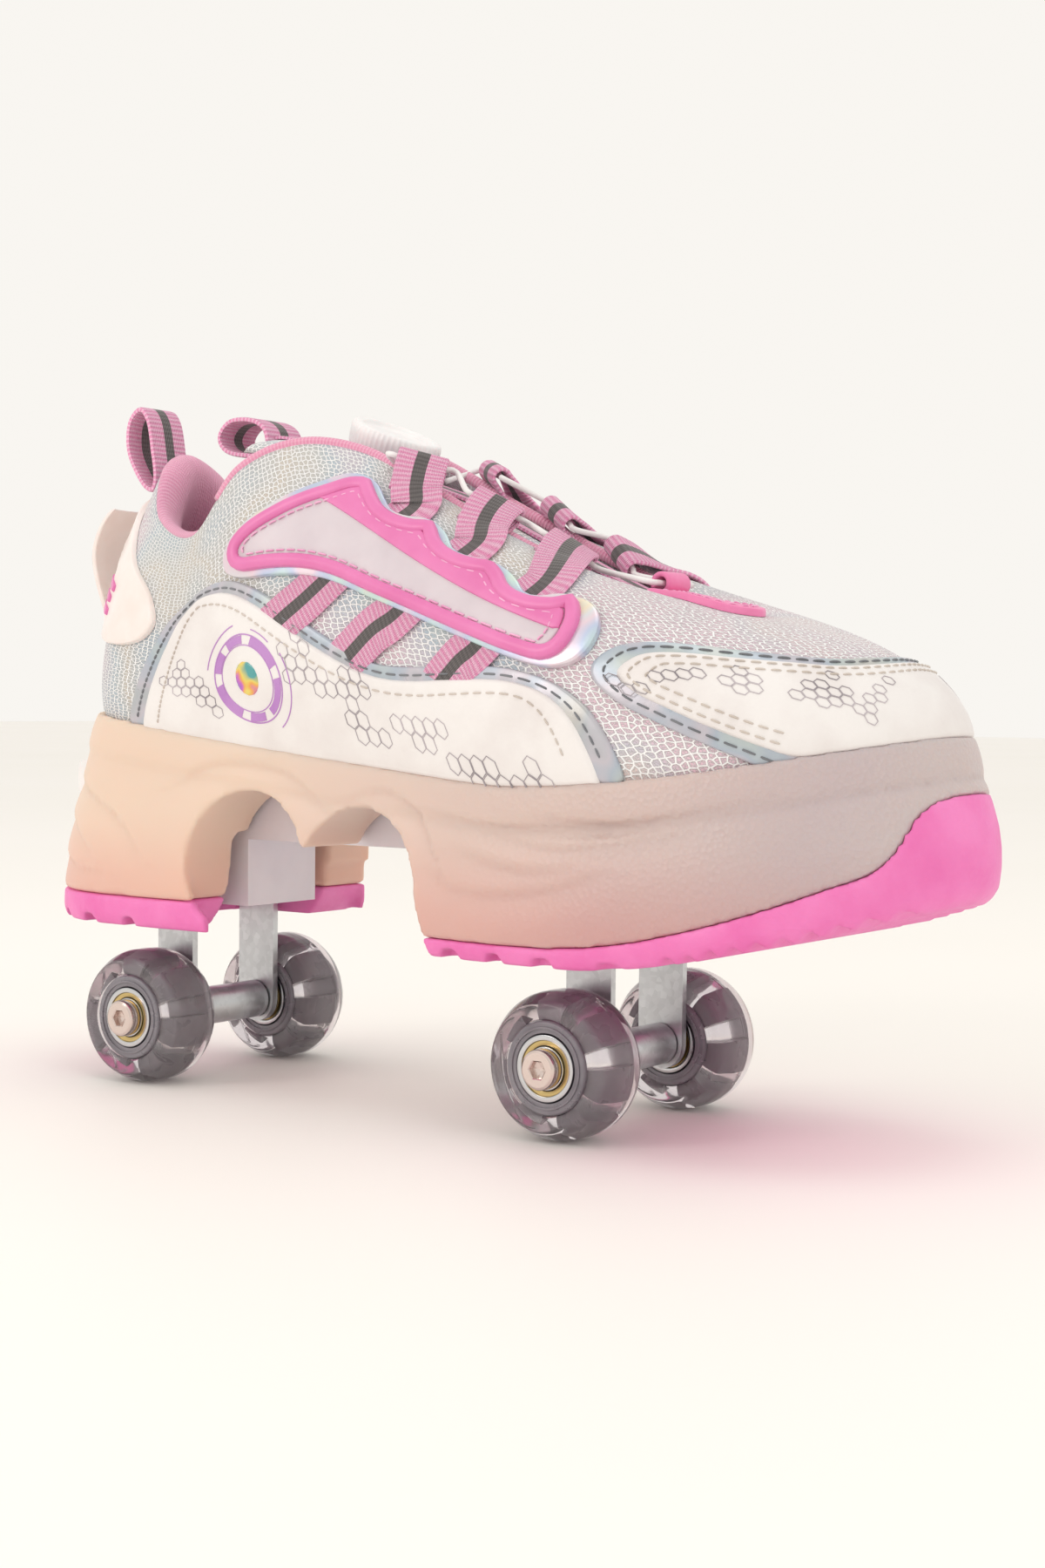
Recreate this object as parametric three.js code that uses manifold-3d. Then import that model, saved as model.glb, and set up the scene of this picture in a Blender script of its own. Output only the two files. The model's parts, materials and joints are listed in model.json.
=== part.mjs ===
// Retractable quad roller shoe: a platform sneaker with two folding wheel trucks in its sole.
// Millimetres, +X to the toe, +Y to the wearer's left, +Z up. The wheels stand on z = 0 and the
// origin lies under the middle of the shoe.
import * as THREE from "three";
import { mergeVertices } from "three/addons/utils/BufferGeometryUtils.js";
import Module from "manifold-3d";

const wasm = await Module();
wasm.setup();

// ---- driving dimensions -------------------------------------------------------------------
const GAP = 0.3; // running or laying gap between neighbouring solids
const ORIGIN_SHIFT = [-22, 0.25]; // brings the middle of the shoe's box over the origin

// wheels and trucks
const WHEEL_R = 18;
const WHEEL_WIDTH = 18.4;
const TRACK = 54.6; // between the wheel centres of one truck
const WHEELBASE = 136.8;
const PIVOT_Z = 60.4; // height of the fold pivots
const FOLD_SIGN = { rear: 1, front: -1 }; // each truck folds towards the waist
const BEARING_R = 8;
const BEARING_WIDTH = 5;
const AXLE_R = 3.9;
const HUB_R = 11.2;
const HEAD_R = 5; // axle bolt head
const HEAD_THICK = 3;
const HEX_SOCKET = 4; // across flats
const LEG_WIDTH = 13;
const LEG_THICK = 2;
const PIN_R = 3.4;
const PIN_HEAD_R = 5;
const PIN_HEAD_THICK = 1.5;
const SPACER_WALL = 1;

// sole
const SOLE_Z = 43; // underside of the outsole
const HEEL_OUTSOLE = 8; // thickness of the outsole under the heel and under the ball
const BALL_OUTSOLE = 4.5;
const FEATHER_Z = 84; // lowest height of the line where upper and sole meet
const HEEL_RISE = 16.5; // feather line: rise from the ball to the heel
const TOE_RISE = 13; // feather line: rise from the ball to the toe
const BALL_X = 60;
const TOE_SPRING = 17; // the underside lifts this much at the toe
const SPRING_X = 80; // where the toe spring starts
const SPRING_RUN = 80;
const ARCH_R = 20;
const ARCH_TOP = 80.6;
const HOUSING_HALF = 14; // half width of the mechanism housing
const HOUSING_TOP = 80.5;
const HOUSING_BEAM_Z = 66.2;
const HOUSING_BLOCK_Z = 48;
const HOUSING_END = 85.5;
const BLOCK_OUT = 77; // outer and inner end of the pivot blocks
const BLOCK_IN = 45;

// latch and button
const BUTTON_WIDTH = 14;
const BUTTON_HEIGHT = 10;
const BUTTON_Z = 81;
const BUTTON_TIP_X = -117.5;
const BUTTON_ROOT_X = -99;
const LATCH_HALF = 4;
const LATCH_Z = 76;
const LATCH_THICK = 2.5;
const LATCH_END = 80.5;
const BUTTON_TRAVEL = 4;
const SPRING_OUTER = 5.8;
const SPRING_INNER = 4.6;

// upper
const SHELL = 3; // wall of the padded mesh upper
const WELT = 1.5; // lip of the midsole outside the upper
const INSOLE_THICK = 4;
const LINING = 5;
const STRAP_THICK = 1.3;
const PANEL_THICK = 1.2;
const BADGE_THICK = 3;
const STRAP_WIDTH = 14;
const WIRE_R = 0.7;
const LOOP_BORE = 1.6;

// dial
const DIAL_R = 12.5;
const DIAL_HEIGHT = 6.5;
const BASE_THICK = 2.6;
const SPOOL_R = 4;
const STEM_R = 2;
const DIAL_TILT = 0.4; // radians, leaning forward with the tongue
const DIAL_AT = [-9, 0, 166.6];

// ---- stations round the shoe: 0 is the heel, 10 the toe, 1 to 9 the outer side -------------
const PLAN = [
  [-115.5, 0], [-106.5, -23], [-86, -37.5], [-52, -40], [-15, -39.5], [22, -42], [58, -47],
  [95, -47.5], [128, -42], [151.5, -24], [163, 3], [155, 26], [132, 40], [98, 47.5],
  [60, 45.5], [22, 41], [-15, 38.5], [-52, 39], [-86, 37], [-106.5, 23],
];
const TOE_STATION = 10;
const STATIONS = PLAN.length;
// how far the feather line lies inside the plan outline, and how far the bottom edge does
const TOP_INSET = [15.5, 13, 8, 5, 4, 3.5, 3.5, 4, 5, 7.5, 9, 7.5, 5, 4, 3.5, 3.5, 4, 5, 8, 13];
const BOTTOM_INSET = [2, 2, 2, 2, 2, 2, 2, 2.5, 3.5, 4.5, 5, 4.5, 3.5, 2.5, 2, 2, 2, 2, 2, 2];
// collar and throat edge, heel to toe on the outer side; the inner side mirrors it
const RIM = [
  [-83.5, 0, 171.5], [-80, -12, 166.5], [-71, -22, 153], [-53, -28, 147.5], [-38, -27, 164],
  [-22, -21, 171], [-2, -16.5, 168], [22, -16, 156], [48, -16, 143], [72, -13, 132], [85, 0, 127],
];
// how far the wall swells beyond the straight line from the feather to the rim
const SWELL = [
  [-6, 0, 0], [-4, -3.5, 0], [-2, -4, 0], [0, -3, 0], [0, -5, 0], [2, -6, 2], [3, -7, 3],
  [4, -8, 5], [6, -7, 7], [8, -4, 8], [8, 0, 8.5],
];
const RING_STEPS = 2; // points per station
const WALL_STEPS = [0, 0.07, 0.18, 0.34, 0.54, 0.77, 1];

// ---- geometry helpers ----------------------------------------------------------------------
const group = new THREE.Group();
group.position.set(...ORIGIN_SHIFT, 0);

function solid(geometry) {
  const bare = geometry.clone();
  bare.deleteAttribute("normal");
  bare.deleteAttribute("uv");
  const merged = mergeVertices(bare, 1e-4);
  return new wasm.Manifold(
    new wasm.Mesh({
      numProp: 3,
      vertProperties: new Float32Array(merged.attributes.position.array),
      triVerts: new Uint32Array(merged.index.array),
    }),
  );
}

function geometryOf(manifold) {
  const mesh = manifold.getMesh();
  const geometry = new THREE.BufferGeometry();
  geometry.setAttribute("position", new THREE.BufferAttribute(mesh.vertProperties, 3));
  geometry.setIndex(new THREE.BufferAttribute(mesh.triVerts, 1));
  return geometry;
}

function joined(solids) {
  return solids.reduce((all, next) => all.add(next));
}

function add(name, shape, color, roughness = 0.6, metalness = 0) {
  const geometry = shape.isBufferGeometry ? shape : geometryOf(shape);
  const material = new THREE.MeshStandardMaterial({ color, roughness, metalness });
  const mesh = new THREE.Mesh(geometry, material);
  mesh.name = name;
  group.add(mesh);
  return mesh;
}

function box(x0, x1, y0, y1, z0, z1) {
  const geometry = new THREE.BoxGeometry(x1 - x0, y1 - y0, z1 - z0);
  return geometry.translate((x0 + x1) / 2, (y0 + y1) / 2, (z0 + z1) / 2);
}

// A side-view outline in X and Z, given depth between two Y values.
function sideExtrude(shape, y0, y1, curveSegments = 12) {
  const depth = y1 - y0;
  const geometry = new THREE.ExtrudeGeometry(shape, { depth, bevelEnabled: false, curveSegments });
  return geometry.rotateX(Math.PI / 2).translate(0, y1, 0);
}

function outline(points) {
  return new THREE.Shape(points.map(([x, z]) => new THREE.Vector2(x, z)));
}

// A ring or disc turned about an axis parallel to Y; the profile holds radius and Y.
function turned(profile, x, y, z, segments) {
  const points = profile.map(([radius, along]) => new THREE.Vector2(radius, along));
  return new THREE.LatheGeometry(points, segments).translate(x, y, z);
}

function tubeProfile(inner, outer, y0, y1) {
  return [[inner, y0], [outer, y0], [outer, y1], [inner, y1], [inner, y0]];
}

function rodProfile(radius, y0, y1) {
  return [[0, y0], [radius, y0], [radius, y1], [0, y1]];
}

// ---- surfaces of the sole and the upper ----------------------------------------------------
function blend(values, position) {
  const count = values.length;
  const at = (i) => values[(i + count) % count];
  const i = Math.floor(position);
  const t = position - i;
  return at(i).map((_, k) => {
    const [a, b, c, d] = [at(i - 1)[k], at(i)[k], at(i + 1)[k], at(i + 2)[k]];
    return b + 0.5 * t * (c - a + t * (2 * a - 5 * b + 4 * c - d + t * (3 * (b - c) + d - a)));
  });
}

function mirrored(half) {
  const inner = half.slice(1, TOE_STATION).reverse();
  return [...half, ...inner.map(([x, y, z]) => [x, -y, z])];
}

const RIM_RING = mirrored(RIM);
const SWELL_RING = mirrored(SWELL);
const INSETS = TOP_INSET.map((top, i) => [top, BOTTOM_INSET[i]]);

function featherZ(x) {
  const back = Math.max(0, (BALL_X - x) / 160);
  const front = Math.max(0, (x - BALL_X) / 95);
  return FEATHER_Z + HEEL_RISE * back ** 1.2 + TOE_RISE * front ** 1.8;
}

function undersideZ(x) {
  return SOLE_Z + TOE_SPRING * (Math.max(0, x - SPRING_X) / SPRING_RUN) ** 1.6;
}

// A point of the plan outline moved inwards by a distance.
function planPoint(position, inset) {
  const [x, y] = blend(PLAN, position);
  const before = blend(PLAN, position - 0.25);
  const after = blend(PLAN, position + 0.25);
  const along = new THREE.Vector2(after[0] - before[0], after[1] - before[1]).normalize();
  return [x - along.y * inset, y + along.x * inset];
}

// One level of the sole: how much of each inset applies, and its height.
function soleRing(bottomShare, topShare, heightOf, further = 0) {
  const ring = [];
  for (let i = 0; i < STATIONS * RING_STEPS; i++) {
    const station = i / RING_STEPS;
    const [top, bottom] = blend(INSETS, station);
    const [x, y] = planPoint(station, bottom * bottomShare + top * topShare + further);
    ring.push([x, y, heightOf(x)]);
  }
  return ring;
}

function wallPoint(position, t) {
  const [top] = blend(INSETS, position);
  const [x, y] = planPoint(position, top + WELT);
  const foot = [x, y, featherZ(x) + GAP];
  const rim = blend(RIM_RING, position);
  const swell = blend(SWELL_RING, position);
  const weight = 3.3 * t ** 0.75 * (1 - t);
  return foot.map((value, k) => value + (rim[k] - value) * t + swell[k] * weight);
}

function wallNormal(position, t) {
  const low = Math.max(0, t - 0.02);
  const high = Math.min(1, t + 0.02);
  const [a, b] = [wallPoint(position - 0.1, t), wallPoint(position + 0.1, t)];
  const [c, d] = [wallPoint(position, low), wallPoint(position, high)];
  const along = new THREE.Vector3(b[0] - a[0], b[1] - a[1], b[2] - a[2]);
  const up = new THREE.Vector3(d[0] - c[0], d[1] - c[1], d[2] - c[2]);
  return along.cross(up).normalize();
}

function wallOffset(position, t, distance) {
  const point = wallPoint(position, t);
  const normal = wallNormal(position, t);
  const x = point[0] + normal.x * distance;
  const y = point[1] + normal.y * distance;
  // the bottom edge stays on the sole
  return [x, y, t === 0 ? featherZ(x) + GAP : point[2] + normal.z * distance];
}

// A closed solid from rings of equal length; ladder caps join the two sides of the shoe.
function loft(rings) {
  const count = rings[0].length;
  const positions = rings.flat(2);
  const index = [];
  for (let r = 0; r + 1 < rings.length; r++)
    for (let i = 0; i < count; i++) {
      const [a, b] = [r * count + i, r * count + ((i + 1) % count)];
      index.push(a, b, b + count, a, b + count, a + count);
    }
  const last = (rings.length - 1) * count;
  for (let i = 0; i < count / 2; i++) {
    const [a, b] = [i, i + 1];
    const [c, d] = [(count - i - 1) % count, (count - i) % count];
    if (b !== c) index.push(a, c, b);
    if (a !== d) index.push(a, d, c);
    if (b !== c) index.push(last + a, last + b, last + c);
    if (a !== d) index.push(last + a, last + c, last + d);
  }
  return indexed(positions, index);
}

function indexed(positions, index) {
  const geometry = new THREE.BufferGeometry();
  geometry.setAttribute("position", new THREE.Float32BufferAttribute(positions, 3));
  geometry.setIndex(index);
  return geometry;
}

// A closed sheet that follows the wall between two distances from it.
function wallSheet(inner, outer, from, to, steps, heights, closed) {
  const columns = closed ? Math.round((to - from) * steps) : Math.round((to - from) * steps) + 1;
  const rows = heights.length;
  const positions = [];
  for (let c = 0; c < columns; c++) {
    const station = from + c / steps;
    for (const t of heights) positions.push(...wallOffset(station, t, outer));
    for (const t of heights) positions.push(...wallOffset(station, t, inner));
  }
  const index = [];
  const quad = (a, b, c, d) => index.push(a, b, c, a, c, d);
  const spans = closed ? columns : columns - 1;
  for (let c = 0; c < spans; c++) {
    const here = c * rows * 2;
    const next = ((c + 1) % columns) * rows * 2;
    for (let r = 0; r + 1 < rows; r++) {
      quad(here + r, next + r, next + r + 1, here + r + 1);
      quad(here + rows + r, here + rows + r + 1, next + rows + r + 1, next + rows + r);
    }
    quad(here, here + rows, next + rows, next);
    quad(here + rows - 1, next + rows - 1, next + 2 * rows - 1, here + 2 * rows - 1);
  }
  if (!closed) {
    const end = (columns - 1) * rows * 2;
    for (let r = 0; r + 1 < rows; r++) {
      quad(r, r + 1, rows + r + 1, rows + r);
      quad(end + r, end + rows + r, end + rows + r + 1, end + r + 1);
    }
  }
  return indexed(positions, index);
}

// ---- sole ----------------------------------------------------------------------------------
const PIVOT_X = { rear: -WHEELBASE / 2, front: WHEELBASE / 2 };
const LEG_LENGTH = PIVOT_Z - WHEEL_R;
const WHEEL_OUT = TRACK / 2 + WHEEL_WIDTH / 2;
const BEARING_FACE = WHEEL_WIDTH / 2 - 0.5; // outer bearing face, from the wheel's middle
const HEAD_IN = TRACK / 2 + BEARING_FACE + GAP;
const HEAD_OUT = HEAD_IN + HEAD_THICK + 2 * GAP;
const LEG_OUT = TRACK / 2 - WHEEL_WIDTH / 2 - 0.5; // outer face of a leg
const LEG_IN = LEG_OUT - LEG_THICK;

function soleBlock() {
  const between = (share) => (x) => undersideZ(x) + (featherZ(x) - undersideZ(x)) * share;
  return solid(loft([
    soleRing(1, 0, undersideZ),
    soleRing(0.3, 0, (x) => undersideZ(x) + 3),
    soleRing(0, 0.2, between(0.45)),
    soleRing(0, 0.65, between(0.8)),
    soleRing(0, 0.8, (x) => featherZ(x) - 4),
    soleRing(0, 1, featherZ),
  ]));
}

function archCut() {
  const rearCentre = -24.8;
  const frontCentre = 13.5;
  const spring = ARCH_TOP - ARCH_R;
  const shape = new THREE.Shape();
  shape.moveTo(-37, SOLE_Z - 5);
  shape.lineTo(-38, SOLE_Z + 4);
  shape.quadraticCurveTo(-43.5, SOLE_Z + 8, rearCentre - ARCH_R, spring);
  shape.absarc(rearCentre, spring, ARCH_R, Math.PI, 0.34, true);
  shape.absarc(frontCentre, spring - 3, ARCH_R, 2.68, 0, true);
  shape.lineTo(39, SOLE_Z);
  shape.lineTo(39, SOLE_Z - 5);
  shape.closePath();
  return solid(sideExtrude(shape, -60, 60));
}

// The room that a folding truck sweeps, as a ring sector with a round end.
function sweepShape(pivot, sign, inner, outer, endRadius) {
  const solids = [];
  const shape = new THREE.Shape();
  const start = -Math.PI / 2;
  const end = sign > 0 ? 0 : -Math.PI;
  shape.absarc(pivot, PIVOT_Z, outer, start, end, sign < 0);
  shape.absarc(pivot, PIVOT_Z, inner, end, start, sign > 0);
  solids.push(shape);
  const round = new THREE.Shape();
  round.absarc(pivot + sign * LEG_LENGTH, PIVOT_Z, endRadius, 0, 2 * Math.PI);
  solids.push(round);
  return solids;
}

function truckRoom(which) {
  const pivot = PIVOT_X[which];
  const sign = FOLD_SIGN[which];
  const run = 3 * GAP;
  const wheelRoom = sweepShape(
    pivot, sign, LEG_LENGTH - WHEEL_R - run, LEG_LENGTH + WHEEL_R + run, WHEEL_R + run,
  );
  const headRoom = sweepShape(
    pivot, sign, LEG_LENGTH - HEAD_R - run, LEG_LENGTH + HEAD_R + run, HEAD_R + run,
  );
  const legHalf = LEG_WIDTH / 2 + 1.5;
  const legOut = LEG_OUT + PIN_HEAD_THICK + 4 * GAP;
  const reach = LEG_LENGTH + WHEEL_R;
  const cuts = [
    ...wheelRoom.map((s) => sideExtrude(s, -WHEEL_OUT - run, WHEEL_OUT + run)),
    ...headRoom.map((s) => sideExtrude(s, -HEAD_OUT, HEAD_OUT)),
    box(pivot - legHalf, pivot + legHalf, -legOut, legOut, SOLE_Z - 5, PIVOT_Z + legHalf),
    box(
      Math.min(pivot, pivot + sign * reach), Math.max(pivot, pivot + sign * reach),
      -legOut, legOut, SOLE_Z - 5, PIVOT_Z + legHalf,
    ),
  ];
  return joined(cuts.map(solid));
}

function housingShape(grow) {
  const [end, out, inn] = [HOUSING_END + grow, BLOCK_OUT + grow, BLOCK_IN - grow];
  const [top, beam, block] = [HOUSING_TOP + grow, HOUSING_BEAM_Z - grow, HOUSING_BLOCK_Z - grow];
  return outline([
    [-end, beam], [-out, beam], [-out, block], [-inn, block], [-inn, beam], [inn, beam],
    [inn, block], [out, block], [out, beam], [end, beam], [end, top], [-end, top],
  ]);
}

function housingRoom() {
  const width = HOUSING_HALF + GAP;
  const below = box(-BLOCK_OUT - GAP, BLOCK_OUT + GAP, -width, width, SOLE_Z - 5, HOUSING_BEAM_Z);
  return solid(sideExtrude(housingShape(GAP), -width, width)).add(solid(below));
}

function buttonRoom() {
  const half = BUTTON_WIDTH / 2 + 2 * GAP;
  const high = BUTTON_HEIGHT / 2 + 2 * GAP;
  const springLow = LATCH_Z + LATCH_THICK / 2 - SPRING_OUTER - GAP;
  return joined([
    solid(box(-130, -HOUSING_END, -half, half, BUTTON_Z - high, BUTTON_Z + high)),
    solid(box(BUTTON_ROOT_X - 1, -HOUSING_END, -half, half, springLow, BUTTON_Z)),
  ]);
}

const sole = soleBlock();
const soleRooms = joined([
  archCut(), truckRoom("rear"), truckRoom("front"), housingRoom(), buttonRoom(),
]);

// The line between outsole and midsole, under the forefoot and up the toe.
function frontSplit(lift, far) {
  const base = SOLE_Z + BALL_OUTSOLE + lift;
  const rises = [
    [20, 0], [60, 0], [78, 0.5], [95, 2.5], [112, 6.5], [127, 11.2], [140, 16.5], [149, 21.5],
    [152.5 - lift, 27.5], [155 - lift, 33.5], [158, 36.5], [175, 37.5],
  ];
  return outline([...rises.map(([x, rise]) => [x, base + rise]), [175, far], [20, far]]);
}

function midsole() {
  const heelTop = SOLE_Z + HEEL_OUTSOLE;
  const top = 120;
  const keepHeel = solid(box(-130, 21, -60, 60, heelTop + GAP, top));
  const keepFront = solid(sideExtrude(frontSplit(GAP, top), -60, 60));
  return sole.intersect(keepHeel.add(keepFront)).subtract(soleRooms);
}

function outsoleHeel() {
  const keep = solid(box(-130, 0, -60, 60, SOLE_Z - 5, SOLE_Z + HEEL_OUTSOLE));
  return sole.intersect(keep).subtract(soleRooms);
}

function outsoleFront() {
  const keep = solid(sideExtrude(frontSplit(0, SOLE_Z - 5), -60, 60));
  return sole.intersect(keep).subtract(soleRooms);
}

add("midsole", midsole(), 0xe3cfc4, 0.45);
add("outsole_heel", outsoleHeel(), 0xf267b4, 0.6);
add("outsole_front", outsoleFront(), 0xf267b4, 0.6);

// ---- upper ---------------------------------------------------------------------------------
const WALL_RING = [0, STATIONS];

// A layer that lies on the upper between two distances from it.
function skin(inner, outer) {
  return solid(wallSheet(inner, outer, ...WALL_RING, RING_STEPS, WALL_STEPS, true));
}

const STRAP_LAYER = [GAP, GAP + STRAP_THICK];
const COVER_LAYER = [STRAP_LAYER[1] + GAP, STRAP_LAYER[1] + GAP + PANEL_THICK];
const BADGE_LAYER = [STRAP_LAYER[1] + GAP, STRAP_LAYER[1] + GAP + BADGE_THICK];
const strapSkin = skin(...STRAP_LAYER);
const coverSkin = skin(...COVER_LAYER);
const badgeSkin = skin(...BADGE_LAYER);
const SIDES = { right: [-80, -6], left: [6, 80] };

function upperShell() {
  return wallSheet(-SHELL, 0, ...WALL_RING, RING_STEPS, WALL_STEPS, true);
}

function collarLining() {
  const reach = 3.5; // stations to each side of the heel
  const heights = [0.42, 0.6, 0.8, 0.97];
  return wallSheet(-SHELL - LINING, -SHELL - GAP, -reach, reach, RING_STEPS, heights, false);
}

function insole() {
  const clear = WELT + SHELL + 4 * GAP;
  return loft([
    soleRing(0, 1, (x) => featherZ(x) + GAP, clear),
    soleRing(0, 1, (x) => featherZ(x) + INSOLE_THICK, clear),
  ]);
}

const QUARTER = [
  [-63, 92], [-60, 104], [-54, 116], [-47, 125], [-36, 130], [-22, 128], [-6, 119], [10, 112],
  [28, 108], [52, 107.5], [71, 101], [80, 94], [86, 80], [0, 80], [-60, 85],
];
const BADGE = [
  [-36, 138], [-35, 144], [-26, 150], [-14, 155], [2, 160], [10, 159], [16, 152], [23, 148],
  [32, 147], [38, 141], [50, 137.5], [56, 132], [63, 128.5], [73, 129], [77, 124], [74, 117],
  [66, 114], [52, 118], [34, 124], [14, 131], [-6, 137], [-28, 136.5],
];
const TOE = [
  [77, 111], [82, 115.5], [104, 115], [126, 114], [148, 113.5], [175, 113.5], [175, 85],
  [142, 85], [138, 91], [108, 101],
];
const CLIP = [
  [-115, 115], [-86, 115], [-78, 121], [-74, 134], [-78, 146], [-86, 152], [-92, 156], [-115, 156],
];
const CLIP_TAB = [
  [-100.5, 115.5], [-102, 115.5], [-104, 128], [-109, 143], [-105, 156], [-103, 156],
  [-106.6, 143], [-102.2, 131], [-100.5, 124],
];

function clipped(layer, points, y0, y1) {
  return layer.intersect(solid(sideExtrude(outline(points), y0, y1)));
}

function heelClip() {
  const tabHalf = 11;
  const tab = solid(sideExtrude(outline(CLIP_TAB), -tabHalf, tabHalf));
  return clipped(strapSkin, CLIP, -60, 60).add(tab);
}

// Lace straps: the station of each loop on the throat edge, and the lower end in side view.
const STRAPS = [
  { station: 6.67, low: [-20, 118] },
  { station: 7.54, low: [6, 112] },
  { station: 8.38, low: [34, 105] },
];
const LOOP_OUTER = LOOP_BORE + STRAP_THICK;
const LOOP_FLATS = 14;

function loopFrame(station, side) {
  const mirror = side === "left" ? STATIONS - station : station;
  const centre = new THREE.Vector3(...wallOffset(mirror, 1, LOOP_OUTER + 2 * GAP));
  const ahead = new THREE.Vector3(...blend(RIM_RING, mirror + 0.2));
  const behind = new THREE.Vector3(...blend(RIM_RING, mirror - 0.2));
  const along = ahead.sub(behind).normalize();
  return { centre, along };
}

function laceStrap({ station, low }, side) {
  const { centre, along } = loopFrame(station, side);
  const half = STRAP_WIDTH / 2;
  const tube = turned(tubeProfile(LOOP_BORE, LOOP_OUTER, -half, half), 0, 0, 0, LOOP_FLATS);
  const turn = new THREE.Quaternion().setFromUnitVectors(new THREE.Vector3(0, 1, 0), along);
  tube.applyQuaternion(turn).translate(...centre);
  const top = new THREE.Vector2(centre.x, centre.z + 6);
  const foot = new THREE.Vector2(...low);
  const across = top.clone().sub(foot).normalize().rotateAround(new THREE.Vector2(), Math.PI / 2);
  across.multiplyScalar(half);
  const strip = [
    [top.x + across.x, top.y + across.y], [foot.x + across.x, foot.y + across.y],
    [foot.x - across.x, foot.y - across.y], [top.x - across.x, top.y - across.y],
  ];
  return clipped(strapSkin, strip, ...SIDES[side]).add(solid(tube));
}

// A ribbon of even thickness along a closed side-view line, given width in Y.
function ribbonLoop(points, thickness, halfWidth, divisions) {
  const curve = new THREE.CatmullRomCurve3(
    points.map(([x, z]) => new THREE.Vector3(x, 0, z)), true, "centripetal",
  );
  const positions = [];
  const index = [];
  for (let i = 0; i < divisions; i++) {
    const point = curve.getPointAt(i / divisions);
    const tangent = curve.getTangentAt(i / divisions);
    const normal = new THREE.Vector3(-tangent.z, 0, tangent.x).multiplyScalar(thickness / 2);
    for (const [side, y] of [[1, -1], [1, 1], [-1, 1], [-1, -1]])
      positions.push(point.x + normal.x * side, y * halfWidth, point.z + normal.z * side);
    const next = ((i + 1) % divisions) * 4;
    for (let k = 0; k < 4; k++) {
      const [a, b] = [i * 4 + k, i * 4 + ((k + 1) % 4)];
      const [c, d] = [next + ((k + 1) % 4), next + k];
      index.push(a, c, b, a, d, c);
    }
  }
  return indexed(positions, index);
}

const HEEL_LOOP = [
  [-89, 163.2], [-93, 165.6], [-98, 174], [-98, 182], [-94, 186], [-90.6, 182.5], [-88.8, 174],
  [-87.8, 167],
];
const TONGUE_LOOP = [
  [-46, 171.2], [-52.8, 170.8], [-60.3, 172.5], [-62.8, 176.5], [-58.8, 180.4], [-50.8, 180.2],
  [-46, 177],
];
const TONGUE_LINE = [
  [83.6, 126, 2.2], [72, 132.2, 8], [48, 143.4, 11.5], [22, 155.4, 12], [-2, 163, 12.5],
  [-9, 166.2, 13], [-22, 170.5, 14], [-34, 173.6, 16], [-44, 175.5, 16],
];
const TONGUE_THICK = 5;

function tongue() {
  const edge = 0.55; // the sides are thinner than the middle
  const rings = TONGUE_LINE.map(([x, z, half]) => [
    [x, -half, z - 1.4], [x, -half * edge, z - 0.2], [x, 0, z], [x, half * edge, z - 0.2],
    [x, half, z - 1.4], [x, half, z - TONGUE_THICK + 1], [x, 0, z - TONGUE_THICK],
    [x, -half, z - TONGUE_THICK + 1],
  ]);
  const count = rings[0].length;
  const index = [];
  for (let r = 0; r + 1 < rings.length; r++)
    for (let i = 0; i < count; i++) {
      const [a, b] = [r * count + i, r * count + ((i + 1) % count)];
      index.push(a, b, b + count, a, b + count, a + count);
    }
  const last = (rings.length - 1) * count;
  for (let i = 1; i + 1 < count; i++) {
    index.push(0, i + 1, i);
    index.push(last, last + i, last + i + 1);
  }
  return indexed(rings.flat(2), index);
}

const VAMP_TUBE = [79.5, 133.4];
const VAMP_HALF = 8;

function vampLoop() {
  const [x, z] = VAMP_TUBE;
  const profile = tubeProfile(LOOP_BORE, LOOP_OUTER, -VAMP_HALF, VAMP_HALF);
  const tube = turned(profile, x, 0, z, LOOP_FLATS);
  const neck = outline([
    [x, z - LOOP_OUTER], [x, z - LOOP_BORE - 0.2], [88, 129.4], [88, 127.9], [85, 128.3],
  ]);
  const patchShape = new THREE.Shape([
    new THREE.Vector2(85.5, -VAMP_HALF - 2), new THREE.Vector2(97, -6),
    new THREE.Vector2(103, 0), new THREE.Vector2(97, 6), new THREE.Vector2(85.5, VAMP_HALF + 2),
  ]);
  const prism = new THREE.ExtrudeGeometry(patchShape, { depth: 30, bevelEnabled: false });
  const patch = strapSkin.intersect(solid(prism.translate(0, 0, 112)));
  return joined([solid(tube), solid(sideExtrude(neck, -VAMP_HALF, VAMP_HALF)), patch]);
}

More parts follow.
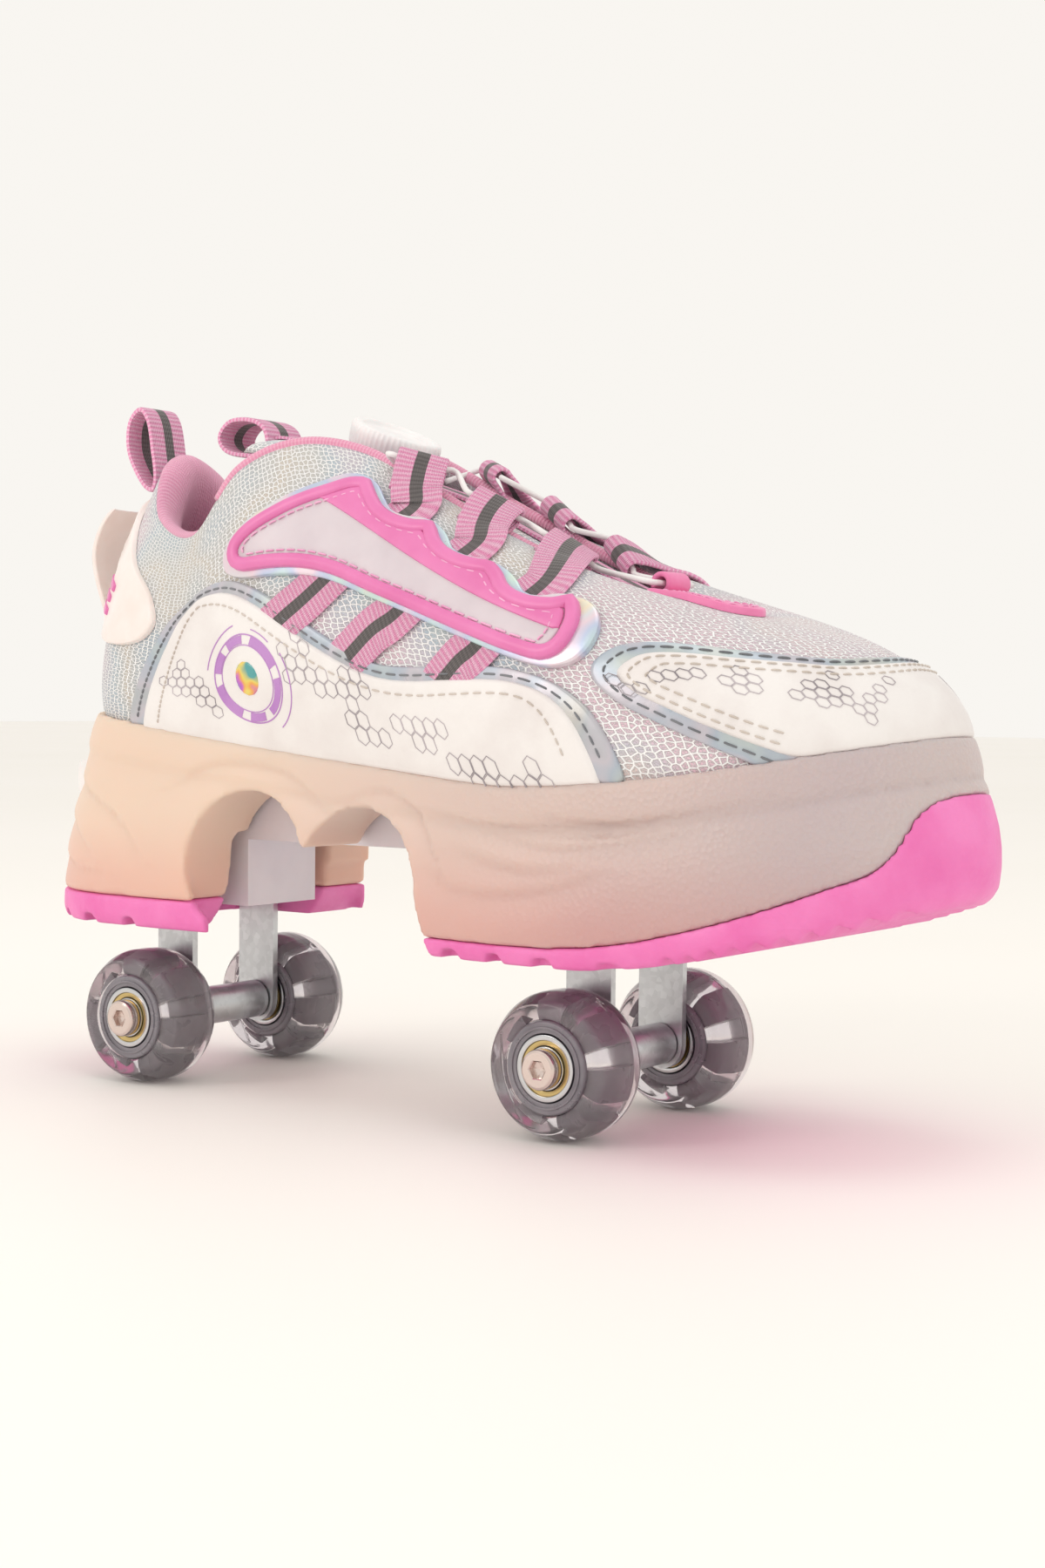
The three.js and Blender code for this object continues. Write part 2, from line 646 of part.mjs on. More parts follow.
// The wire runs from the dial through the three loops of one side, across the vamp and back.
function laceWire() {
  const half = STRAPS.flatMap(({ station }) => {
    const { centre, along } = loopFrame(station, "right");
    const outside = STRAP_WIDTH / 2 + 3;
    const inside = STRAP_WIDTH / 2 - 1;
    return [-outside, -inside, inside, outside].map((d) => centre.clone().addScaledVector(along, d));
  });
  const [x, z] = VAMP_TUBE;
  half.unshift(new THREE.Vector3(4.6, -8, 162.4));
  half.push(new THREE.Vector3(x - 0.6, -VAMP_HALF - 1.6, z + 0.2));
  const other = half.map((p) => new THREE.Vector3(p.x, -p.y, p.z)).reverse();
  const across = [new THREE.Vector3(x, -VAMP_HALF + 2, z), new THREE.Vector3(x, VAMP_HALF - 2, z)];
  const curve = new THREE.CatmullRomCurve3([...half, ...across, ...other], false, "centripetal");
  const section = new THREE.Shape();
  const sides = 6;
  for (let i = 0; i < sides; i++) {
    const angle = (2 * Math.PI * i) / sides;
    const point = [WIRE_R * Math.cos(angle), WIRE_R * Math.sin(angle)];
    if (i === 0) section.moveTo(...point);
    else section.lineTo(...point);
  }
  return new THREE.ExtrudeGeometry(section, { steps: 64, extrudePath: curve, bevelEnabled: false });
}

add("upper_shell", upperShell(), 0xdfe3ea, 0.9);
add("collar_lining", collarLining(), 0xf5a3cb, 0.95);
add("insole", insole(), 0xf2b8d3, 0.9);
add("heel_clip", heelClip(), 0xf3e4dc, 0.4);
add("toe_panel", clipped(strapSkin, TOE, -60, 60), 0xf6f3ef, 0.5);
for (const [side, [y0, y1]] of Object.entries(SIDES)) {
  add("quarter_panel_" + side, clipped(coverSkin, QUARTER, y0, y1), 0xf6f3ef, 0.5);
  add("badge_" + side, clipped(badgeSkin, BADGE, y0, y1), 0xea62ad, 0.4);
  STRAPS.forEach((strap, i) => {
    add("lace_strap_" + side + "_" + (i + 1), laceStrap(strap, side), 0xf08cc0, 0.9);
  });
}
add("heel_loop", ribbonLoop(HEEL_LOOP, 1.6, 6.8, 20), 0xf08cc0, 0.9);
add("tongue_loop", ribbonLoop(TONGUE_LOOP, 1.4, 7.5, 18), 0xf08cc0, 0.9);
add("tongue", tongue(), 0xe9e2ea, 0.9);
add("vamp_loop", vampLoop(), 0xee7ab6, 0.5);
add("lace_wire", laceWire(), 0xf4f4f4, 0.5);

// ---- dial ----------------------------------------------------------------------------------
function dialPiece(profile, segments) {
  const lathe = turned(profile, 0, 0, 0, segments).rotateX(Math.PI / 2);
  return lathe.rotateY(DIAL_TILT).translate(...DIAL_AT);
}

function dialBase() {
  const [bore, rim] = [SPOOL_R + GAP, DIAL_R + 1.5];
  return dialPiece([
    [bore, 0], [rim, 0], [rim, 2], [rim - 1, BASE_THICK], [bore, BASE_THICK], [bore, 0],
  ], 24);
}

function dialSpool() {
  const top = BASE_THICK + DIAL_HEIGHT - 2;
  return dialPiece([
    [0, 0], [SPOOL_R, 0], [SPOOL_R, BASE_THICK], [STEM_R, BASE_THICK], [STEM_R, top], [0, top],
  ], 16);
}

function dialKnob() {
  const low = BASE_THICK + GAP;
  const high = low + DIAL_HEIGHT;
  const bore = STEM_R + GAP;
  return dialPiece([
    [bore, low], [DIAL_R - 0.6, low], [DIAL_R, low + 0.8], [DIAL_R, high - 1.5],
    [DIAL_R - 1.2, high], [DIAL_R - 2.6, high], [DIAL_R - 3.6, high - 1.4], [bore, high - 1.4],
    [bore, low],
  ], 28);
}

add("dial_base", dialBase(), 0xf3f1ee, 0.4);
add("dial_spool", dialSpool(), 0xdddddd, 0.4);
add("dial_knob", dialKnob(), 0xf6f4f2, 0.35);

// ---- mechanism -----------------------------------------------------------------------------
function housing() {
  const body = solid(sideExtrude(housingShape(0), -HOUSING_HALF, HOUSING_HALF));
  const bossR = 7;
  const cuts = [];
  const bosses = [];
  for (const x of Object.values(PIVOT_X)) {
    bosses.push(turned(rodProfile(bossR, -LEG_IN + GAP, LEG_IN - GAP), x, 0, PIVOT_Z, 20));
    cuts.push(turned(rodProfile(PIN_R + GAP, -30, 30), x, 0, PIVOT_Z, 20));
    const half = KICK_OUTER + 1.5;
    cuts.push(box(x - half, x + half, -KICK_HALF - GAP, KICK_HALF + GAP, 40, PIVOT_Z + half));
  }
  const slot = LATCH_HALF + GAP;
  cuts.push(box(-100, 100, -slot, slot, LATCH_Z - GAP, LATCH_Z + LATCH_THICK + GAP));
  return joined([body, ...bosses.map(solid)]).subtract(joined(cuts.map(solid)));
}

const KICK_INNER = PIN_R + GAP;
const KICK_OUTER = 6;
const KICK_HALF = 5;

function kickSpring(x) {
  const coil = turned(tubeProfile(KICK_INNER, KICK_OUTER, -KICK_HALF, KICK_HALF), x, 0, PIVOT_Z, 18);
  const arm = box(x - KICK_OUTER + 0.2, x - KICK_OUTER + 1.6, -0.8, 0.8, PIVOT_Z - 11, PIVOT_Z);
  return solid(coil).add(solid(arm));
}

function pivotPin(x) {
  const [inside, outside] = [LEG_OUT + GAP, LEG_OUT + GAP + PIN_HEAD_THICK];
  return turned([
    [0, -outside], [PIN_HEAD_R, -outside], [PIN_HEAD_R, -inside], [PIN_R, -inside],
    [PIN_R, inside], [PIN_HEAD_R, inside], [PIN_HEAD_R, outside], [0, outside],
  ], x, 0, PIVOT_Z, 18);
}

function leg(x, side) {
  const shape = new THREE.Shape();
  const half = LEG_WIDTH / 2;
  shape.absarc(x, PIVOT_Z, half, 0, Math.PI);
  shape.absarc(x, WHEEL_R, half, Math.PI, 2 * Math.PI);
  shape.closePath();
  for (const [z, radius] of [[PIVOT_Z, PIN_R + GAP], [WHEEL_R, AXLE_R + GAP]]) {
    const hole = new THREE.Path();
    hole.absarc(x, z, radius, 0, 2 * Math.PI, true);
    shape.holes.push(hole);
  }
  const [y0, y1] = side === "left" ? [LEG_IN, LEG_OUT] : [-LEG_OUT, -LEG_IN];
  return sideExtrude(shape, y0, y1, 8);
}

function spacerTube(x) {
  const bore = AXLE_R + GAP;
  const half = LEG_IN - GAP;
  return turned(tubeProfile(bore, bore + SPACER_WALL, -half, half), x, 0, WHEEL_R, 16);
}

// One half of the axle: a headed shank with a hex socket; the two halves meet inside the tube.
function axleHalf(x, side, reach) {
  const outside = HEAD_IN + HEAD_THICK;
  const profile = [
    [0, -outside], [HEAD_R - 0.8, -outside], [HEAD_R, -outside + 0.8], [HEAD_R, -HEAD_IN],
    [AXLE_R, -HEAD_IN], [AXLE_R, reach], [0, reach],
  ];
  const shank = turned(profile, 0, 0, 0, 18);
  const socketR = HEX_SOCKET / Math.sqrt(3);
  const socket = turned(rodProfile(socketR, -outside - 1, -outside + 2), 0, 0, 0, 6);
  const made = geometryOf(solid(shank).subtract(solid(socket)));
  if (side === "left") made.rotateZ(Math.PI);
  return made.translate(x, 0, WHEEL_R);
}

// An odd number of flats puts one flat under the wheel; the flats touch the wheel's radius.
const TYRE_FLATS = 27;

function tyreProfile() {
  const side = WHEEL_WIDTH / 2;
  const tread = WHEEL_R / Math.cos(Math.PI / TYRE_FLATS);
  const bore = HUB_R + GAP;
  return [
    [bore, -side + 0.6], [tread - 2.4, -side], [tread - 0.7, -side + 1.4], [tread, -side / 2],
    [tread, side / 2], [tread - 0.7, side - 1.4], [tread - 2.4, side], [bore, side - 0.6],
    [bore, -side + 0.6],
  ];
}

function hubProfile() {
  const bore = BEARING_R + GAP;
  const seat = BEARING_FACE - BEARING_WIDTH - GAP;
  const face = BEARING_FACE - 0.1;
  return [
    [bore, -face], [HUB_R, -face], [HUB_R, face], [bore, face], [bore, seat], [bore - 1.3, seat],
    [bore - 1.3, -seat], [bore, -seat], [bore, -face],
  ];
}

function bearing(x, y) {
  const half = BEARING_WIDTH / 2;
  const bore = AXLE_R + GAP;
  return turned([
    [bore, -half], [bore + 1.3, -half], [bore + 1.6, -half + 0.5], [BEARING_R - 1.3, -half + 0.5],
    [BEARING_R - 1, -half], [BEARING_R, -half], [BEARING_R, half], [bore, half], [bore, -half],
  ], x, y, WHEEL_R, 14);
}

const BUTTON_COLOR = 0xefe7e2;
function latchParts() {
  const half = BUTTON_WIDTH / 2;
  const high = BUTTON_HEIGHT / 2;
  const tip = new THREE.Shape();
  const round = 2.5;
  tip.moveTo(BUTTON_ROOT_X, BUTTON_Z - high);
  tip.lineTo(BUTTON_ROOT_X, BUTTON_Z + high);
  tip.lineTo(BUTTON_TIP_X + round, BUTTON_Z + high);
  tip.quadraticCurveTo(BUTTON_TIP_X, BUTTON_Z + high, BUTTON_TIP_X, BUTTON_Z + high - round);
  tip.lineTo(BUTTON_TIP_X, BUTTON_Z - high + round);
  tip.quadraticCurveTo(BUTTON_TIP_X, BUTTON_Z - high, BUTTON_TIP_X + round, BUTTON_Z - high);
  tip.closePath();
  add("release_button", sideExtrude(tip, -half, half, 4), BUTTON_COLOR, 0.4);
  const top = LATCH_Z + LATCH_THICK;
  const bar = box(BUTTON_ROOT_X + GAP, LATCH_END, -LATCH_HALF, LATCH_HALF, LATCH_Z, top);
  add("latch_bar", bar, 0xc9ccd0, 0.35, 1);
  // the coil rides on the button and is drawn at its pressed length
  const [x0, x1] = [BUTTON_ROOT_X + GAP, -HOUSING_END - GAP - BUTTON_TRAVEL];
  const coil = turned(tubeProfile(SPRING_INNER, SPRING_OUTER, x0, x1), 0, 0, 0, 16);
  coil.rotateZ(-Math.PI / 2).translate(0, 0, LATCH_Z + LATCH_THICK / 2);
  add("return_spring", coil, 0xb8bcc2, 0.3, 1);
}

add("housing", housing(), 0xeceaf0, 0.4);
latchParts();
for (const [which, x] of Object.entries(PIVOT_X)) {
  add("kick_spring_" + which, kickSpring(x), 0xb8bcc2, 0.3, 1);
  add("pivot_pin_" + which, pivotPin(x), 0xc4c6ca, 0.3, 1);
  add("spacer_tube_" + which, spacerTube(x), 0xc9cacb, 0.35, 1);
  add("axle_bolt_" + which, axleHalf(x, "right", LEG_IN - 2 * GAP), 0xcdbdb8, 0.25, 1);
  add("axle_nut_" + which, axleHalf(x, "left", -LEG_IN + GAP), 0xcdbdb8, 0.25, 1);
  for (const [side, sign] of [["right", -1], ["left", 1]]) {
    const y = (sign * TRACK) / 2;
    const place = which + "_" + side;
    add("leg_" + place, leg(x, side), 0xd3d6d8, 0.4, 1);
    add("tyre_" + place, turned(tyreProfile(), x, y, WHEEL_R, TYRE_FLATS), 0x8f7f86, 0.3);
    add("hub_" + place, turned(hubProfile(), x, y, WHEEL_R, 16), 0x77737a, 0.35);
    const offset = BEARING_FACE - BEARING_WIDTH / 2;
    add("bearing_outer_" + place, bearing(x, y + sign * offset), 0xd9dadc, 0.2, 1);
    add("bearing_inner_" + place, bearing(x, y - sign * offset), 0xd9dadc, 0.2, 1);
  }
}

export default group;
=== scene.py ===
"""Looks of a retractable quad roller shoe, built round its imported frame.

Shapes are given in millimetres from the point on the floor midway between the two fold
pivots, +X to the toe, +Y to the inner side, +Z up. place() brings them into the frame.
"""
import json
import math

import bmesh
import bpy
import numpy as np
from mathutils import Matrix, Vector
from mathutils.geometry import delaunay_2d_cdt


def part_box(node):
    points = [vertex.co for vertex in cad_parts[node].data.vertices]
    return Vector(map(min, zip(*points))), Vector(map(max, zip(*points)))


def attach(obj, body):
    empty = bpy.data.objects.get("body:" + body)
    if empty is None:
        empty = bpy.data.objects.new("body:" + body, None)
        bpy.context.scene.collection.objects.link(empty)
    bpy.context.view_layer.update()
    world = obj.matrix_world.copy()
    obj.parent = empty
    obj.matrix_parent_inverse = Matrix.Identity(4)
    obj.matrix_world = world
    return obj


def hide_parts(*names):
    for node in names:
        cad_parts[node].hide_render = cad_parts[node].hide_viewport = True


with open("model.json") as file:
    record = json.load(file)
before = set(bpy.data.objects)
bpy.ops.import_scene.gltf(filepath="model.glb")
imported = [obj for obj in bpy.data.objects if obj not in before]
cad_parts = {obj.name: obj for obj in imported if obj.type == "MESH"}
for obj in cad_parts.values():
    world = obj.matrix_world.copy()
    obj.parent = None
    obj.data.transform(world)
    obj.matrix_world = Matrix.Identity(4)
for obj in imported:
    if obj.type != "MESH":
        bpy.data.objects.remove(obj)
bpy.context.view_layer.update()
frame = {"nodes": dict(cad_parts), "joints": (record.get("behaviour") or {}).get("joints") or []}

MM = 0.001
JOINTS = {joint["name"]: joint for joint in frame["joints"]}
ENDS = ("rear", "front")
SIDES = ("right", "left")
PIVOT = {end: np.array(JOINTS[end + "_fold"]["pos_m"]) / MM for end in ENDS}
ORIGIN = (PIVOT["rear"] + PIVOT["front"]) / 2 * [1, 1, 0]
PIVOT_Z = PIVOT["rear"][2]


def place(points):
    return (np.asarray(points, float) + ORIGIN) * MM


def node_box(name):
    """A node's lowest and highest corners at rest, in millimetres."""
    return [np.array(corner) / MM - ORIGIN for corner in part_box(name)]


# ---- sole and upper surfaces ------------------------------------------------------------
# Stations run round the shoe: 0 is the heel, 10 the toe, 1 to 9 the outer side.
STATIONS = 20
PLAN = [
    [-115.5, 0], [-106.5, -23], [-86, -37.5], [-52, -40], [-15, -39.5], [22, -42], [58, -47],
    [95, -47.5], [128, -42], [151.5, -24], [163, 3], [155, 26], [132, 40], [98, 47.5],
    [60, 45.5], [22, 41], [-15, 38.5], [-52, 39], [-86, 37], [-106.5, 23],
]
TOP_INSET = [15.5, 13, 8, 5, 4, 3.5, 3.5, 4, 5, 7.5, 9, 7.5, 5, 4, 3.5, 3.5, 4, 5, 8, 13]
BOTTOM_INSET = [2, 2, 2, 2, 2, 2, 2, 2.5, 3.5, 4.5, 5, 4.5, 3.5, 2.5, 2, 2, 2, 2, 2, 2]
RIM = [
    [-83.5, 0, 171.5], [-80, -12, 166.5], [-71, -22, 153], [-53, -28, 147.5], [-38, -27, 164],
    [-22, -21, 171], [-2, -16.5, 168], [22, -16, 156], [48, -16, 143], [72, -13, 132],
    [85, 0, 127],
]
SWELL = [
    [-6, 0, 0], [-4, -3.5, 0], [-2, -4, 0], [0, -3, 0], [0, -5, 0], [2, -6, 2], [3, -7, 3],
    [4, -8, 5], [6, -7, 7], [8, -4, 8], [8, 0, 8.5],
]
SOLE_Z = 43
HEEL_OUTSOLE = 8
BALL_OUTSOLE = 4.5
GAP = 0.3
WELT = 1.5


def mirrored(half):
    return half + [[x, -y, z] for x, y, z in half[-2:0:-1]]


RIM_RING = mirrored(RIM)
SWELL_RING = mirrored(SWELL)
INSETS = list(zip(TOP_INSET, BOTTOM_INSET))


def blend(values, position):
    """A smooth curve through values that close on themselves."""
    values = np.asarray(values, float)
    position = np.asarray(position, float)
    first = np.floor(position).astype(int)
    u = (position - first)[..., None]
    a, b, c, d = (values[(first + k) % len(values)] for k in (-1, 0, 1, 2))
    return b + 0.5 * u * (c - a + u * (2 * a - 5 * b + 4 * c - d + u * (3 * (b - c) + d - a)))


def feather_z(x):
    back = np.maximum(0, (60 - x) / 160)
    return 84 + 16.5 * back**1.2 + 13 * np.maximum(0, (x - 60) / 95) ** 1.8


def underside_z(x):
    return SOLE_Z + 17 * (np.maximum(0, x - 80) / 80) ** 1.6


def plan_point(station, inset):
    along = blend(PLAN, station + 0.25) - blend(PLAN, station - 0.25)
    along /= np.linalg.norm(along, axis=-1, keepdims=True)
    inwards = np.stack([-along[..., 1], along[..., 0]], -1)
    return blend(PLAN, station) + inwards * np.asarray(inset)[..., None]


def wall(station, height):
    """The upper's outer surface: height 0 is on the sole, 1 at the collar and throat."""
    station, height = np.broadcast_arrays(np.asarray(station, float), np.asarray(height, float))
    xy = plan_point(station, blend(INSETS, station)[..., 0] + WELT)
    foot = np.concatenate([xy, (feather_z(xy[..., :1]) + GAP)], -1)
    held = np.clip(height, 0, 1)
    weight = (3.3 * held**0.75 * (1 - held))[..., None]
    rise = (blend(RIM_RING, station) - foot) * height[..., None]
    return foot + rise + blend(SWELL_RING, station) * weight


def wall_normal(station, height):
    station, height = np.broadcast_arrays(np.asarray(station, float), np.asarray(height, float))
    along = wall(station + 0.1, height) - wall(station - 0.1, height)
    up = wall(station, np.minimum(1, height + 0.02)) - wall(station, np.maximum(0, height - 0.02))
    normal = np.cross(along, up)
    return normal / np.linalg.norm(normal, axis=-1, keepdims=True)


def skin(station, height, offset):
    return wall(station, height) + wall_normal(station, height) * np.asarray(offset)[..., None]


# Outlines on the wall are drawn flat: one station and the full height, in millimetres.
FLAT = np.array([17.5, 80.0])


def on_wall(side_view, side, offset=1.5):
    """Flat points of the wall that have these X and Z in side view."""
    low = {"right": 0.02, "left": 10.02}[side]
    table_s, table_t = np.meshgrid(
        np.linspace(low, low + 9.96, 200), np.linspace(0, 1, 61), indexing="ij"
    )
    table = skin(table_s, table_t, np.full(table_s.shape, offset))[..., ::2]
    found = []
    for target in np.asarray(side_view, float):
        nearest = np.linalg.norm(table - target, axis=-1).argmin()
        guess = np.array([table_s.flat[nearest], table_t.flat[nearest]])
        for _ in range(6):
            probes = guess + [[0, 0], [0.01, 0], [0, -0.01]]
            here, ahead, below = skin(probes[:, 0], probes[:, 1], np.full(3, offset))[:, ::2]
            slopes = np.stack([(ahead - here) / 0.01, (here - below) / 0.01], 1)
            step = np.linalg.lstsq(slopes, target - here, rcond=None)[0]
            guess = guess + np.clip(step, -0.2, 0.2)
            guess[1] = np.clip(guess[1], 0, 1)
        found.append(guess * FLAT)
    return np.array(found)


# ---- lines and outlines in two dimensions -----------------------------------------------
def box_outline(x0, x1, y0, y1):
    return [(x0, y0), (x1, y0), (x1, y1), (x0, y1)]


def run_along(line):
    """The distance from a line's start to each of its points."""
    return np.concatenate([[0], np.cumsum(np.linalg.norm(np.diff(line, axis=0), axis=1))])


def resampled(line, spacing, closed):
    line = np.asarray(line, float)
    if closed:
        line = np.vstack([line, line[:1]])
    run = run_along(line)
    count = max(4, int(round(run[-1] / spacing)))
    at = np.linspace(0, run[-1], count + 1)
    even = np.stack([np.interp(at, run, line[:, k]) for k in range(line.shape[1])], 1)
    return even[:-1] if closed else even


def smooth_line(points, spacing=1.2, closed=True):
    points = np.asarray(points, float)
    if closed:
        dense = blend(points, np.arange(0, len(points), 0.05))
    else:
        padded = np.vstack([2 * points[:1] - points[1:2], points, 2 * points[-1:] - points[-2:-1]])
        dense = blend(padded, np.append(np.arange(1, len(points), 0.05), len(points)))
    return resampled(dense, spacing, closed)


def outward_normals(line):
    ahead, behind = np.roll(line, -1, 0), np.roll(line, 1, 0)
    along = ahead - behind
    along /= np.linalg.norm(along, axis=1, keepdims=True) + 1e-9
    normals = np.stack([along[:, 1], -along[:, 0]], 1)
    area = np.sum(line[:, 0] * ahead[:, 1] - ahead[:, 0] * line[:, 1])
    return normals * np.sign(area)


def grown(line, distance):
    """A closed outline moved outwards, without the folds that tight corners leave."""
    moved = line + outward_normals(line) * distance
    far = np.linalg.norm(moved[:, None] - line[None], axis=-1).min(1) > abs(distance) * 0.93
    return resampled(moved[far], 1.2, True)


def inside(points, outline):
    x, y = points[:, 0:1], points[:, 1:2]
    ax, ay = outline[:, 0], outline[:, 1]
    bx, by = np.roll(ax, -1), np.roll(ay, -1)
    spans = (ay > y) != (by > y)
    cross = ax + (y - ay) * (bx - ax) / np.where(by == ay, 1e-9, by - ay)
    return (spans & (x < cross)).sum(1) % 2 == 1


def rounded(points, radius, steps=4):
    """A closed outline whose corners are rounded; radius is one number or one per corner."""
    points = np.asarray(points, float)
    radii = np.broadcast_to(radius, len(points))
    made = []
    for i, corner in enumerate(points):
        to_last, to_next = points[i - 1] - corner, points[(i + 1) % len(points)] - corner
        lengths = [max(np.linalg.norm(v), 1e-9) for v in (to_last, to_next)]
        reach = min(radii[i], 0.48 * lengths[0], 0.48 * lengths[1])
        if reach < 0.02:
            made.append(corner)
            continue
        start = corner + to_last / lengths[0] * reach
        end = corner + to_next / lengths[1] * reach
        for t in np.linspace(0, 1, steps + 1):
            made.append(start * (1 - t) ** 2 + 2 * corner * t * (1 - t) + end * t**2)
    return np.array(made)


# ---- shapes: (points, faces, one flat coordinate for each corner of each face) ------------
def grid_shape(points, wrap_rows=False, wrap_columns=False, flat=None, caps=False):
    points = np.asarray(points, float)
    rows, columns = points.shape[:2]
    if flat is None:
        run = np.linalg.norm(np.diff(points, axis=0), axis=-1).mean(1)
        across = np.linalg.norm(np.diff(points, axis=1), axis=-1).mean(0)
        us = np.concatenate([[0], np.cumsum(run), [run.sum() + run[-1]]])
        vs = np.concatenate([[0], np.cumsum(across), [across.sum() + across[-1]]])
        flat = np.stack(np.meshgrid(us, vs, indexing="ij"), -1)
    faces, corners = [], []
    for i in range(rows if wrap_rows else rows - 1):
        for j in range(columns if wrap_columns else columns - 1):
            ring = [(i, j), (i + 1, j), (i + 1, j + 1), (i, j + 1)]
            faces.append([(r % rows) * columns + c % columns for r, c in ring])
            corners.append([flat[min(r, len(flat) - 1), min(c, flat.shape[1] - 1)] for r, c in ring])
    if caps:
        for row, turn in ((0, 1), (rows - 1, -1)):
            ring = [row * columns + c for c in range(columns)][::turn]
            faces.append(ring)
            corners.append([flat[min(row, len(flat) - 1), c % flat.shape[1]] for c in range(columns)])
    return points.reshape(-1, 3), faces, corners


def closing_faces(start, columns, turn):
    """Faces from side to side across one ring of points, so that it is closed."""
    found = []
    for i in range(columns // 2):
        face = [start + i, start + i + 1, start + columns - i - 1, start + (columns - i) % columns]
        face = list(dict.fromkeys(face))[::turn]
        if len(face) > 2:
            found.append(face)
    return found


def joined(shapes):
    points, faces, corners = [], [], []
    start = 0
    for shape_points, shape_faces, shape_corners in shapes:
        points.append(shape_points)
        faces += [[k + start for k in face] for face in shape_faces]
        corners += shape_corners
        start += len(shape_points)
    return np.vstack(points), faces, corners


def sweep_shape(path, normals, section, closed=False):
    """A section of (across, out) points carried along a path. Its flat coordinates are the
    run along the path and the distance across from the middle."""
    path, section = np.asarray(path, float), np.asarray(section, float)
    if closed:
        along = np.roll(path, -1, 0) - np.roll(path, 1, 0)
    else:
        along = np.gradient(path, axis=0)
    along /= np.linalg.norm(along, axis=1, keepdims=True)
    across = np.cross(along, normals)
    across /= np.linalg.norm(across, axis=1, keepdims=True)
    out = np.cross(across, along)
    points = (
        path[:, None]
        + across[:, None] * section[None, :, :1]
        + out[:, None] * section[None, :, 1:]
    )
    steps = np.linalg.norm(np.diff(path, axis=0, append=path[:1]), axis=1)
    run = np.concatenate([[0], np.cumsum(steps)])
    width = np.append(section[:, 0], section[0, 0])
    flat = np.stack(np.meshgrid(run, width, indexing="ij"), -1)
    return grid_shape(points, closed, True, flat, caps=not closed)


def plane_normals(along):
    """Normals of a line that lies in the shoe's middle plane."""
    return np.stack([-along[:, 2], np.zeros(len(along)), along[:, 0]], 1)


def round_section(radius, sides=10, flatten=1.0):
    angles = np.linspace(0, 2 * np.pi, sides, endpoint=False)
    return np.stack([radius * np.cos(angles), radius * flatten * np.sin(angles)], 1)


def ribbon_section(width, thick):
    half, edge = width / 2, thick / 2
    return rounded(box_outline(-half, half, -edge, edge), edge * 0.9, 3)


def lathe_shape(profile, centre=(0, 0, 0), segments=72, closed=False, radius_of=None):
    """A profile of (radius, along) points turned about +Y."""
    profile = np.asarray(profile, float)
    angles = np.linspace(0, 2 * np.pi, segments, endpoint=False)
    radius = np.broadcast_to(profile[:, 0], (segments, len(profile)))
    if radius_of is not None:
        radius = radius_of(radius, angles[:, None])
    points = np.stack(
        [
            radius * np.sin(angles)[:, None],
            np.broadcast_to(profile[:, 1], radius.shape),
            radius * np.cos(angles)[:, None],
        ],
        -1,
    )
    return grid_shape(points + np.asarray(centre), True, closed)


def patch_shape(outline, base, height, edge=0.8, spacing=2.4, relief=None, sink=0.1):
    """A sheet on the wall inside a flat outline, with a rounded edge that reaches down."""
    rim = resampled(outline, 1.2, True)
    levels = [(0, sink), (0.1, base + 0.55 * height), (0.45, base + 0.9 * height), (1, base + height)]
    normals = outward_normals(rim)
    rings = [rim - normals * edge * share for share, _ in levels]
    offsets = [np.full(len(rim), offset) for _, offset in levels]
    low, high = rim.min(0), rim.max(0)
    xs = np.arange(low[0], high[0], spacing)
    ys = np.arange(low[1], high[1], spacing)
    field = np.stack(np.meshgrid(xs, ys, indexing="ij"), -1).reshape(-1, 2)
    field[:, 1] += spacing / 2 * (np.round((field[:, 0] - low[0]) / spacing) % 2)
    field = field[inside(field, rings[-1])]
    if len(field):
        apart = np.linalg.norm(field[:, None] - rings[-1][None], axis=-1).min(1)
        field = field[apart > spacing * 0.45]
    flat = np.vstack(rings + [field])
    heights = np.concatenate(offsets + [np.full(len(field), base + height)])
    count = len(rim)
    edges = [
        (k * count + i, k * count + (i + 1) % count) for k in range(len(rings)) for i in range(count)
    ]
    found, _, faces, sources, _, _ = delaunay_2d_cdt(
        [Vector(p) for p in flat], edges, [], 1, 1e-4
    )
    found = np.array([list(p) for p in found])
    offset = np.array([heights[source[0]] if source else base + height for source in sources])
    station, level = (found / FLAT).T
    if relief is not None:
        offset = offset + relief(station, level) * (offset > base + 0.5 * height)
    points = skin(station, np.clip(level, 0, 1), offset)
    faces = [list(face) for face in faces]
    return points, faces, [[found[k] for k in face] for face in faces]


def stitch_shapes(line, offset, length=2.1, gap=1.1, radius=0.3, closed=False):
    """Thread showing along a flat line: short rods that dip into the surface at both ends."""
    line = np.asarray(line, float)
    if closed:
        line = np.vstack([line, line[:1]])
    run = run_along(line)
    shapes = []
    for start in np.arange(gap / 2, run[-1] - length, length + gap):
        at = start + length * np.array([0, 0.12, 0.35, 0.65, 0.88, 1])
        flat = np.stack([np.interp(at, run, line[:, k]) for k in (0, 1)], 1) / FLAT
        lift = offset + radius * np.array([-0.6, 0.1, 0.5, 0.5, 0.1, -0.6])
        height = np.clip(flat[:, 1], 0, 1)
        path = skin(flat[:, 0], height, lift)
        normals = wall_normal(flat[:, 0], height)
        shapes.append(sweep_shape(path, normals, round_section(radius, 6)))
    return shapes


def line_on_wall(line, offset):
    station, height = (np.asarray(line) / FLAT).T
    height = np.clip(height, 0, 1)
    return skin(station, height, np.broadcast_to(offset, len(station))), wall_normal(station, height)


